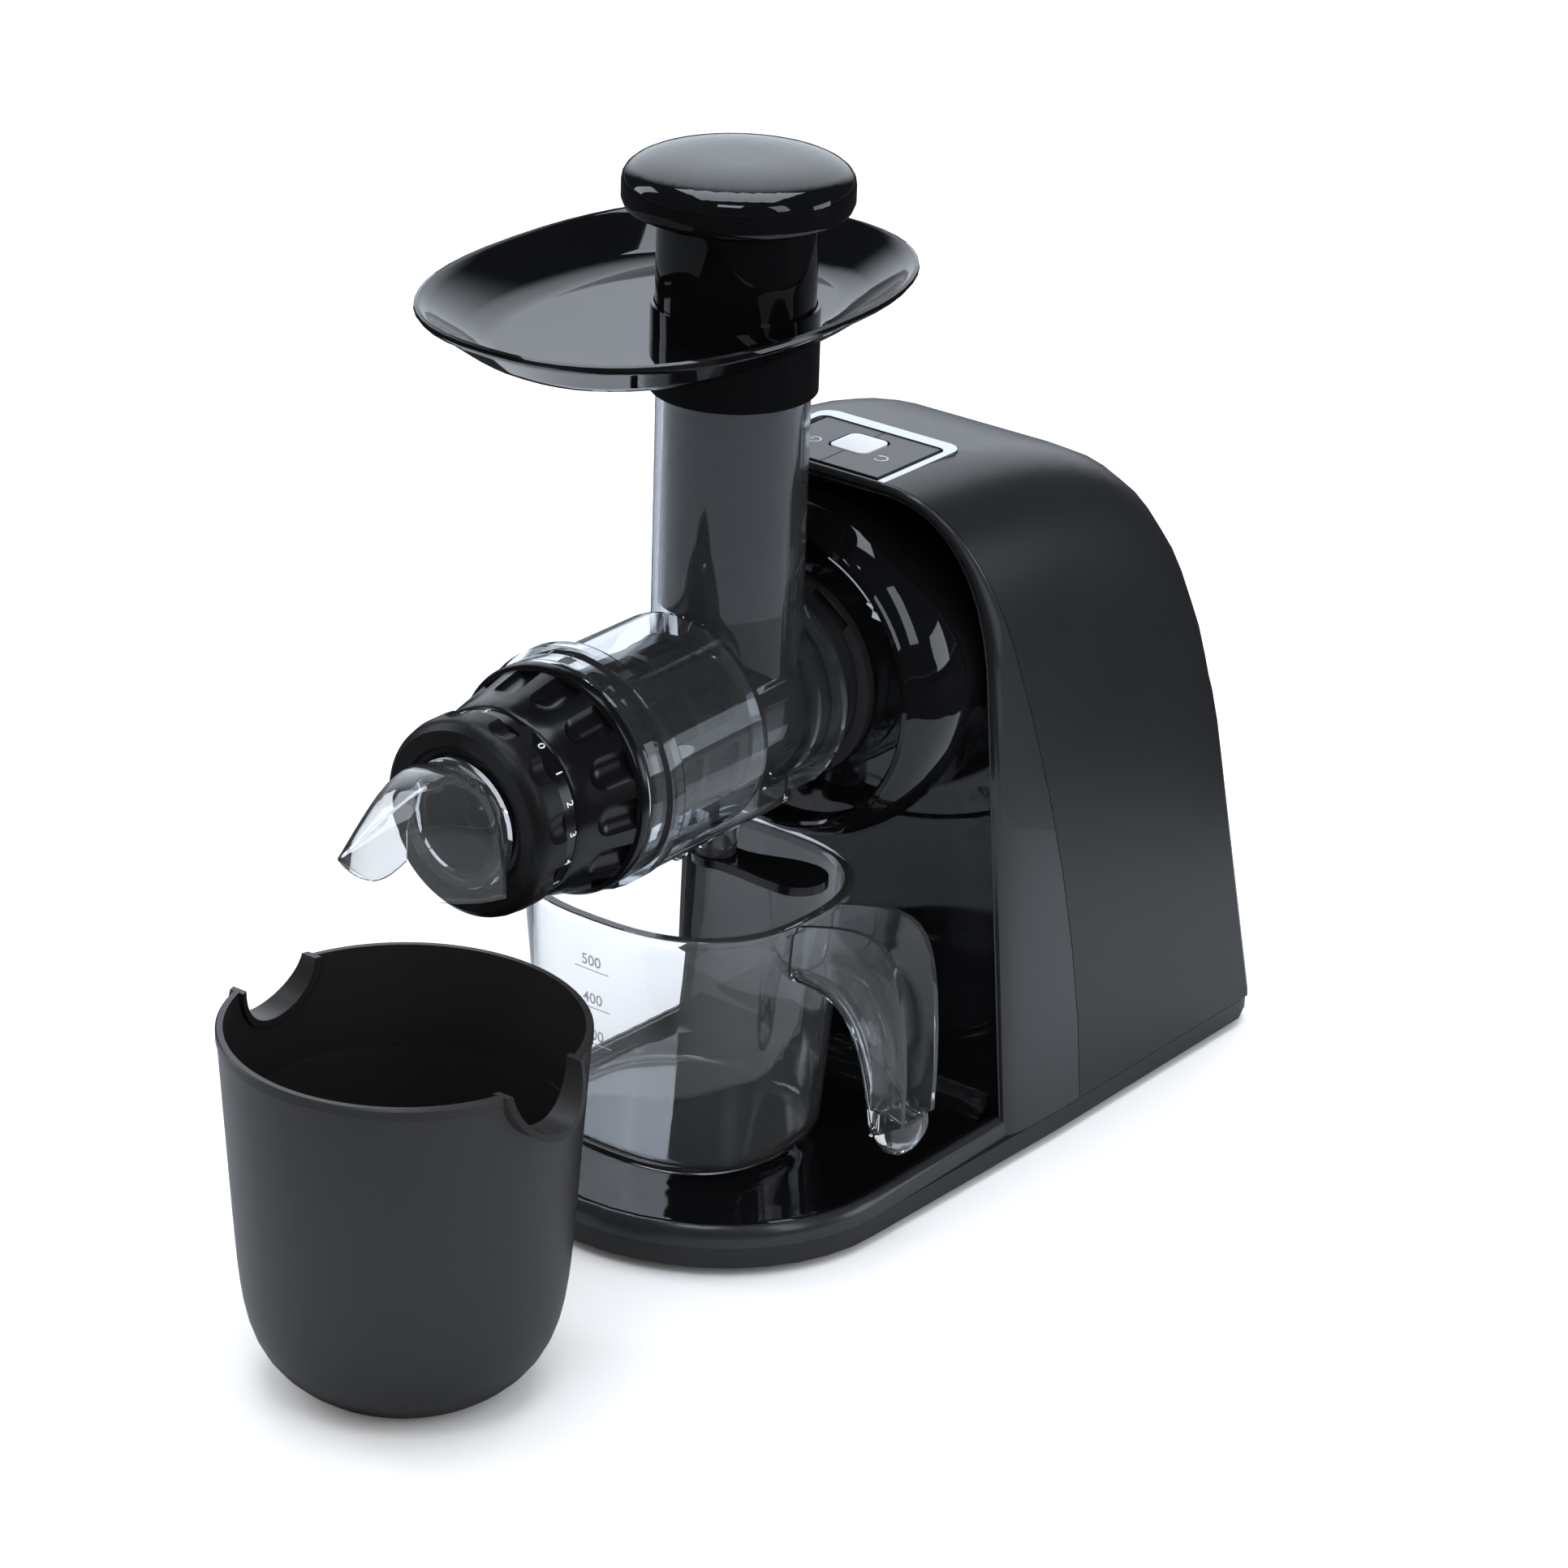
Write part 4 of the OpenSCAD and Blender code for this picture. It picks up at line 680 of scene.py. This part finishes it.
def thicken(bm: bmesh.types.BMesh, thickness: float = INK_LIFT) -> None:
    """Gives a flat mark a small thickness, upwards from Z = 0.

    Args:
        bm: The mark.
        thickness: Its thickness.
    """
    bmesh.ops.recalc_face_normals(bm, faces=bm.faces)
    made = bmesh.ops.extrude_face_region(bm, geom=bm.faces[:])
    raised = [v for v in made["geom"] if isinstance(v, bmesh.types.BMVert)]
    bmesh.ops.translate(bm, verts=raised, vec=(0, 0, thickness))
    bmesh.ops.recalc_face_normals(bm, faces=bm.faces)


def wrap(bm: bmesh.types.BMesh, radius: float, turn: float, y: float) -> None:
    """Wraps a mark round the auger axis.

    Args:
        bm: Mark whose X runs round the axis, whose Y runs to the rear and whose Z is up.
        radius: Radius of the surface under the mark.
        turn: Angle from the top, clockwise seen from the front, in degrees.
        y: Y of the mark's middle.
    """
    for vertex in bm.verts:
        x, along, up = vertex.co
        angle = math.radians(turn) + x / radius
        far = radius + up
        vertex.co = (far * math.sin(angle), y + along, AXIS_Z + far * math.cos(angle))


class Face:
    """The outside of a CAD node, as a marker's hand finds it."""

    def __init__(self, node: str) -> None:
        """Reads the node's mesh.

        Args:
            node: Name of the CAD node.
        """
        bm = bmesh.new()
        bm.from_mesh(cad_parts[node].data)
        self.tree = BVHTree.FromBMesh(bm)
        bm.free()

    def lay(self, bm: bmesh.types.BMesh, middle: Sequence[float], right: Sequence[float],
            up: Sequence[float], reach: float = 0.03) -> None:
        """Lays a flat mark on the face.

        Args:
            bm: The mark, with its height along Z.
            middle: Where its origin goes, before it is pressed on.
            right: Direction of its X.
            up: Direction of its Y.
            reach: How far in front of middle the pressing starts.
        """
        right, up = Vector(right).normalized(), Vector(up).normalized()
        out = right.cross(up)
        for vertex in bm.verts:
            x, y, height = vertex.co
            start = Vector(middle) + right * x + up * y + out * reach
            found = self.tree.ray_cast(start, -out)[0]
            vertex.co = (found if found else start - out * reach) + out * height


# ---------- sub-assemblies with details of their own ----------

@dataclass
class Housing(SubAssembly):
    """The motor housing with its fascia, frame and control panel."""

    boss_y: float = -0.047        # Y of the boss's face
    arrow: float = 0.0505         # radius of the arrow
    arrow_ends: tuple = (20, 46)  # angles from the top, clockwise, in degrees
    arrow_line: float = 0.0007
    arrow_head: float = 0.0042
    lock: float = 0.0040          # side of the padlock's body
    lock_place: tuple = (0.0395, 0.0318, -8)  # X, height over the axis, and turn

    def details(self) -> list:
        """Prints the arrow and the open padlock on the boss.

        Returns:
            The marks.
        """
        ink = together(arc(self.arrow, self.arrow_line, *self.arrow_ends),
                       head(self.arrow, self.arrow_ends[1], self.arrow_head),
                       moved(padlock(self.lock, True), *self.lock_place))
        thicken(ink)
        Face("front_fascia").lay(ink, (0, self.boss_y, AXIS_Z), (1, 0, 0), (0, 0, 1), 0.0)
        return [as_piece(ink, "unlock_marks", Look.WHITE, self.body)]


@dataclass
class Key(SubAssembly):
    """The rocking key with its inlay, its printed signs and a line of painted shade along the
    seam across it.
    """

    aside: float = 0.0150         # distance of a sign from the key's middle
    shift: float = -0.0040        # distance of a sign from the key's long axis
    sign: float = 0.0024          # radius of a sign
    line: float = 0.0005
    ring: tuple = (32, 328)       # ends of the on sign's ring, in degrees
    stem: tuple = (0.1, 1.25)     # ends of the on sign's stem, in radii
    loop: tuple = (-40, -300)     # ends of the reverse sign's arrow, in degrees
    arrow_head: float = 0.0018
    seam_shade: float = 0.0006          # width of the seam, and its distance from the edge
    inlay: float = 0.0102         # half the width of the inlay, which breaks the seam

    def details(self) -> list:
        """Prints an on sign and a reverse sign, and paints the seam's shade as a near-black
        line.

        Returns:
            The signs and the painted shade of the seam.
        """
        low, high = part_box("rocker_switch")
        middle = ((low.x + high.x) / 2, (low.y + high.y) / 2, high.z)
        foot, tip = (self.sign * share for share in self.stem)
        on = together(arc(self.sign, self.line, *self.ring),
                      bar((0, foot), (0, tip), self.line, 2))
        back = together(arc(self.sign, self.line, *self.loop),
                        head(self.sign, self.loop[1], self.arrow_head, False))
        signs = together(moved(on, self.shift, self.aside),
                         moved(back, self.shift, -self.aside))
        half = (high.y - low.y) / 2 - self.seam_shade
        # painted shade: a near-black line where the split between the key's halves lies in
        # shade, broken by the inlay
        seam_shade = together(bar((-half, 0), (-self.inlay, 0), self.seam_shade),
                        bar((self.inlay, 0), (half, 0), self.seam_shade))
        face = Face("rocker_switch")
        for mark in (signs, seam_shade):
            thicken(mark)
            face.lay(mark, middle, (0, 1, 0), (-1, 0, 0))
        return [as_piece(signs, "key_signs", Look.WHITE, self.body),
                as_piece(seam_shade, "key_seam_shade", Look.SEAM, self.body)]


@dataclass
class Chamber(SubAssembly):
    """The smoky chamber with its chute, screen and moulded padlocks."""

    ring: float = 0.0415          # radius of the ring in front of the flange
    ring_y: float = -0.1702
    lock: float = 0.0046          # side of a padlock's body
    arrow: float = 0.0024         # length of an arrow
    open_at: float = 0.0          # angles from the top, clockwise, in degrees
    shut_at: float = 62.0
    arrows_at: tuple = (27.0, 36.0)

    def details(self) -> list:
        """Moulds an open and a closed padlock on the flange, with arrows between them.

        Returns:
            The marks.
        """
        marks = {self.open_at: padlock(self.lock, True),
                 self.shut_at: padlock(self.lock, False)}
        marks |= {turn: head(0.0, 0.0, self.arrow) for turn in self.arrows_at}
        for turn, mark in marks.items():
            thicken(mark, MOULDED_LIFT)
            wrap(mark, self.ring, turn, self.ring_y)
        return [as_piece(together(*marks.values()), "flange_marks", Look.MOULDED, self.body)]


@dataclass
class Nut(SubAssembly):
    """The locking nut with its number band, and the clear spout."""

    digit: float = 0.0031
    band: float = 0.0334          # radius of the number band
    band_y: float = -0.2064
    rows: tuple = (35.0, -103.0)  # angle of each row's 0 from the top
    step: float = 18.8            # angle from one digit to the next
    hood_y: float = -0.2285       # Y where the spout's hood starts
    hood: float = 0.0575          # length of the hood
    bore: float = 0.1726          # Z of the bore's lowest line
    crown: float = 0.2136         # Z of the hood's highest line
    rise: float = 0.025           # height of the hood's tip over the bore's lowest line
    bend: float = 1.5             # power of the hood's lower line in the solid
    full_bend: float = 2.2        # power of the same line when it is filled out

    def reshape(self, node: str, bm: bmesh.types.BMesh) -> None:
        """Fills out the spout's hood downwards between its ring and its tip.

        Args:
            node: Name of the CAD node.
            bm: Mesh of its skin.
        """
        if node != "pulp_spout":
            return
        for vertex in bm.verts:
            t = (self.hood_y - vertex.co.y) / self.hood
            if 0 < t < 1:
                low = self.bore + self.rise * t ** self.bend
                share = clamp((self.crown - vertex.co.z) / (self.crown - low))
                vertex.co.z += share * self.rise * (t ** self.full_bend - t ** self.bend)

    def details(self) -> list:
        """Prints two rows of digits from 0 to 5 on the band.

        Returns:
            The digits, as one piece.
        """
        marks = []
        for start in self.rows:
            for value in range(6):
                mark = glyphs(str(value), self.digit)
                thicken(mark)
                wrap(mark, self.band, start + self.step * value, self.band_y)
                marks.append(mark)
        return [as_piece(together(*marks), "dial_numbers", Look.WHITE, self.body)]


@dataclass
class Lever(SubAssembly):
    """The stop lever with its plug and the fine ribs on its paddle."""

    ribs: int = 12
    pitch: float = 0.0016
    half: float = 0.0052          # half the length of a rib
    rib: float = 0.0007           # width of a rib
    inset: float = 0.0035         # from the paddle's end to its first rib

    def details(self) -> list:
        """Moulds the ribs.

        Returns:
            The ribs, as one piece.
        """
        low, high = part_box("stop_lever")
        places = [self.pitch * i for i in range(self.ribs)]
        ribs = together(*(bar((-self.half, y), (self.half, y), self.rib) for y in places))
        thicken(ribs, MOULDED_LIFT)
        Face("stop_lever").lay(ribs, (high.x - self.inset, (low.y + high.y) / 2, high.z),
                               (0, -1, 0), (-1, 0, 0))
        return [as_piece(ribs, "paddle_ribs", Look.NUT, self.body)]


@dataclass
class Jug(SubAssembly):
    """The clear jug with its printed scale and the rounded end of its handle."""

    marks: tuple = ((500, 0.0925), (400, 0.0770), (300, 0.0620))  # values and heights
    middle: float = -0.0215       # X of the scale
    half: float = 0.0078          # half the length of a line
    line: float = 0.0004
    digit: float = 0.0042
    lift: float = 0.0036          # from a line to the middle of its digits
    lips_x: float = 0.0478        # X where the drawing in of the lips starts
    lips: float = 0.0460          # how far the lips reach from there
    drawn: float = 0.0090         # how far their edge is drawn in
    tip: tuple = (0.0832, -0.0740, 0.0430)      # middle of the handle's end
    tip_along: tuple = (0.916, 0, 0.402)        # direction across the end, to the outer side
    tip_down: tuple = (0.402, 0, -0.916)        # direction that the end faces
    tip_size: tuple = (0.0126, 0.0101, 0.0115)  # half its length and width, and its depth
    wall: float = 0.0022          # thickness of the rounded tip
    square: int = 4               # power that squares the outer side, where the lips end

    def reshape(self, node: str, bm: bmesh.types.BMesh) -> None:
        """Rounds the end of the handle and draws its lips closer to the wall.

        Args:
            node: Name of the CAD node, not used.
            bm: Mesh of its skin.
        """
        self._round_tip(bm)
        for vertex in bm.verts:
            share = clamp((vertex.co.x - self.lips_x) / self.lips)
            vertex.co.x -= self.drawn * share ** 2

    def _round_tip(self, bm: bmesh.types.BMesh) -> None:
        """Closes the end of the handle with a hollow rounded tip.

        Args:
            bm: Mesh of the jug's skin.
        """
        middle, along, down = (Vector(v) for v in (self.tip, self.tip_along, self.tip_down))
        turn = Matrix((along, Vector((0, -1, 0)), down)).transposed().to_4x4()
        near = 1e-6               # closer to the cut or the middle than this counts as on it
        made, rims = [], []
        for wall in (0.0, self.wall):
            length, width, depth = (size - wall for size in self.tip_size)
            fit = (Matrix.Translation(middle) @ turn
                   @ Matrix.Diagonal((length, width, depth, 1)))
            ball = bmesh.ops.create_uvsphere(bm, u_segments=40, v_segments=20, radius=1,
                                             matrix=fit)["verts"]
            upper = [v for v in ball if (v.co - middle).dot(down) < -near]
            cup = [v for v in ball if (v.co - middle).dot(down) >= -near]
            bmesh.ops.delete(bm, geom=upper, context="VERTS")
            for vertex in cup:
                a, b = (vertex.co - middle).dot(along), vertex.co.y - middle.y
                u, v = a / length, b / width
                if u > near:
                    squared = (u ** self.square + v ** self.square) ** (1 / self.square)
                    grow = math.hypot(u, v) / squared - 1
                    vertex.co += along * a * grow + Vector((0, b * grow, 0))
            made += dict.fromkeys(f for v in cup for f in v.link_faces)
            rims += dict.fromkeys(e for v in cup for e in v.link_edges if e.is_boundary)
        made += bmesh.ops.bridge_loops(bm, edges=rims)["faces"]
        bmesh.ops.recalc_face_normals(bm, faces=made)

    def details(self) -> list:
        """Prints the scale on the front wall.

        Returns:
            The scale.
        """
        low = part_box("juice_jug")[0]
        lines = []
        for value, z in self.marks:
            lines.append(moved(bar((-self.half, 0), (self.half, 0), self.line), 0, z))
            lines.append(moved(glyphs(str(value), self.digit), 0, z + self.lift))
        ink = together(*lines)
        thicken(ink)
        Face("juice_jug").lay(ink, (self.middle, low.y, 0), (1, 0, 0), (0, 0, 1))
        return [as_piece(ink, "jug_scale", Look.GREY, self.body)]


# ---------- stage ----------

@dataclass
class Studio:
    """Floor, surround, lights and camera."""

    lens: float = 121.12
    azimuth: float = 36.97
    elevation: float = 23.97
    roll: float = 1.87
    offset: tuple = (-0.21, 4.73, 222.58)  # target from the camera: right, up, ahead
    unit: float = 0.0085                   # metres of one unit of the offset
    target: tuple = (0.0, -0.051, 0.190)
    floor: float = 12.0                    # half the side of the floor
    floor_grey: float = 0.93
    floor_z: float = -0.0002
    cloth: tuple = (5.0, 0.45)             # outer and inner radius of the black cloth
    cloth_z: float = 0.001
    plain: float = 1.0                     # strength of the surround as seen directly
    matt: float = 1.12                     # its strength for matt surfaces
    gloss: tuple = (0.03, 1.5)             # its strength for gloss, elsewhere and behind
    behind: tuple = (-0.55, 0.73, 0.41)    # direction of the bright part behind
    edge: tuple = (0.80, 0.95)             # from where to where that part fades in
    aim: tuple = (0.0, -0.08, 0.15)        # what the lights shine on
    lamps: tuple = (                       # name, place, size and power
        ("left", (-1.6, -0.5, 1.0), (0.45, 1.2), 6),
        ("right", (1.5, -0.3, 1.2), (0.4, 1.1), 4),
        ("side", (1.29, 0.80, 0.375), (0.6, 0.5), 2.6),
        ("crown", (0.40, -0.87, 1.57), (0.5, 0.4), 3.5),
        ("top", (-0.2, 0.2, 2.2), (1.6, 1.4), 28))

    def build(self) -> None:
        """Builds the whole stage."""
        self._camera()
        self._floor()
        self._flag()
        self._world()
        self._lights()

    def _camera(self) -> None:
        """Places the camera."""
        a, e, r = (math.radians(v) for v in (self.azimuth, self.elevation, self.roll))
        forward = Vector((-math.sin(a) * math.cos(e), math.cos(a) * math.cos(e), -math.sin(e)))
        right = Vector((math.cos(a), math.sin(a), 0))
        up = right.cross(forward)
        right, up = (math.cos(r) * right + math.sin(r) * up,
                     -math.sin(r) * right + math.cos(r) * up)
        cx, cy, cz = self.offset
        place = Vector(self.target) - (right * cx + up * cy + forward * cz) * self.unit
        data = bpy.data.cameras.new("camera")
        data.lens = self.lens
        data.sensor_width = 36
        data.clip_start = 0.05
        data.clip_end = 50
        camera = bpy.data.objects.new("camera", data)
        turn = Matrix((right, up, -forward)).transposed()
        camera.matrix_world = Matrix.Translation(place) @ turn.to_4x4()
        bpy.context.scene.collection.objects.link(camera)
        bpy.context.scene.camera = camera

    def _floor(self) -> None:
        """Makes the pale floor."""
        bm = bmesh.new()
        bmesh.ops.create_grid(bm, x_segments=1, y_segments=1, size=self.floor)
        graph = Graph("pale_floor")
        graph.put("Base Color", (*[self.floor_grey] * 3, 1))
        graph.put("Roughness", 0.6)
        graph.put("Specular IOR Level", 0.2)
        floor = in_scene(bm, "floor", graph.material)
        floor.location.z = self.floor_z

    def _flag(self) -> None:
        """Lays a black cloth round the object that only reflections see."""
        bm = bmesh.new()
        outer, inner = self.cloth
        bmesh.ops.create_circle(bm, segments=64, radius=outer)
        rims = bm.edges[:]
        hole = bmesh.ops.create_circle(bm, segments=64, radius=inner)["verts"]
        rims += [e for e in bm.edges if e.verts[0] in hole and e.verts[1] in hole]
        bmesh.ops.bridge_loops(bm, edges=rims)
        graph = Graph("black_cloth")
        graph.put("Base Color", (0.01, 0.01, 0.01, 1))
        graph.put("Roughness", 0.9)
        cloth = in_scene(bm, "cloth", graph.material)
        cloth.location = (*self.aim[:2], self.cloth_z)
        for ray in ("camera", "diffuse", "transmission", "volume_scatter", "shadow"):
            setattr(cloth, "visible_" + ray, False)

    def _world(self) -> None:
        """Sets a white surround, dark in front as gloss sees it, and the view transform."""
        world = bpy.data.worlds.new("surround")
        world.use_nodes = True
        nodes = Nodes(world.node_tree)
        way = nodes.wire("ShaderNodeTexCoord", "Generated")
        toward = nodes.wire("ShaderNodeVectorMath", "Value", {"operation": "DOT_PRODUCT"},
                            {0: way, 1: self.behind})
        shown = nodes.wire("ShaderNodeMapRange", 0, {"interpolation_type": "SMOOTHSTEP"}, {
            "Value": toward, "From Min": self.edge[0], "From Max": self.edge[1],
            "To Min": self.gloss[0], "To Max": self.gloss[1]})
        ray = nodes.add("ShaderNodeLightPath")
        on_matt, on_gloss = (Wire(nodes, ray.outputs[depth]) > 0.5
                             for depth in ("Diffuse Depth", "Glossy Depth"))
        level = nodes.wire("ShaderNodeMix", 0, None,
                           {0: on_matt, 2: self.plain, 3: self.matt})
        level = nodes.wire("ShaderNodeMix", 0, None, {0: on_gloss, 2: level, 3: shown})
        surround = nodes.tree.nodes["Background"]
        nodes.feed(surround.inputs[0], nodes.blend(on_gloss, (1, 1, 1), COOL))
        nodes.feed(surround.inputs[1], level)
        bpy.context.scene.world = world
        bpy.context.scene.view_settings.view_transform = "Standard"

    def _lights(self) -> None:
        """Hangs the soft boxes round the object."""
        for name, place, size, power in self.lamps:
            data = bpy.data.lights.new(name, "AREA")
            data.shape = "RECTANGLE"
            data.size, data.size_y = size
            data.energy = power
            data.color = COOL
            lamp = bpy.data.objects.new(name, data)
            turn = (Vector(self.aim) - Vector(place)).to_track_quat("-Z", "Y")
            lamp.matrix_world = Matrix.Translation(place) @ turn.to_matrix().to_4x4()
            bpy.context.scene.collection.objects.link(lamp)


def assemblies() -> list:
    """Every sub-assembly.

    Returns:
        The sub-assemblies in the order in which they are built.
    """
    return [
        Housing("housing", {
            "base_plate": Look.BASE, "rubber_feet": Look.RUBBER, "housing_screws": Look.STEEL,
            "front_fascia": Look.GLOSS, "front_frame": Look.FRAME, "body_shell": Look.BODY,
            "rear_cover": Look.BODY, "cord_gland": Look.BASE, "panel_frame": Look.SILVER,
            "switch_block": Look.INNER, "motor_bracket": Look.STEEL, "motor_can": Look.STEEL,
            "layshaft": Look.STEEL, "gearbox_plate": Look.CAST, "front_bearing": Look.BRASS,
            "rear_bearing": Look.BRASS, "bayonet_socket": Look.INNER,
            "shaft_seal": Look.RUBBER, "control_board": Look.BOARD}),
        Key("rocker", {"rocker_switch": Look.KEY, "rocker_inlay": Look.INLAY}),
        SubAssembly("motor_rotor", {
            "motor_shaft": Look.STEEL, "cooling_fan": Look.INNER, "motor_pinion": Look.BRASS}),
        SubAssembly("layshaft_gear", {"compound_gear": Look.NYLON}),
        SubAssembly("auger_drive", {
            "output_gear": Look.NYLON, "drive_shaft": Look.STEEL, "auger": Look.GLOSS,
            "auger_insert": Look.STEEL}),
        Chamber("chamber", {
            "juicing_chamber": Look.SMOKE, "chamber_seal": Look.SEAL,
            "juice_screen": Look.SCREEN, "screen_mesh": Look.MESH, "lever_pin": Look.STEEL}),
        Nut("nut", {"locking_nut": Look.NUT, "pulp_spout": Look.CLEAR}),
        SubAssembly("dial", {"adjusting_dial": Look.DIAL}),
        SubAssembly("bush", {"outlet_bush": Look.GLOSS}),
        Lever("lever", {"stop_lever": Look.NUT, "outlet_plug": Look.PLUG}),
        SubAssembly("tray", {"feed_tray": Look.GLOSS}, 40.0),
        SubAssembly("pusher", {"pusher_cap": Look.GLOSS, "pusher_stem": Look.GLOSS}),
        Jug("jug", {"juice_jug": Look.CLEAR}, 40.0),
        SubAssembly("bin", {"pulp_container": Look.BIN}),
    ]


def main() -> None:
    """Builds the stage and every sub-assembly."""
    logging.basicConfig(level=logging.INFO)
    Studio().build()
    for group in assemblies():
        for piece in group.build():
            LOG.info("%s on %s", piece.name, group.body)


if __name__ == "__main__":
    main()
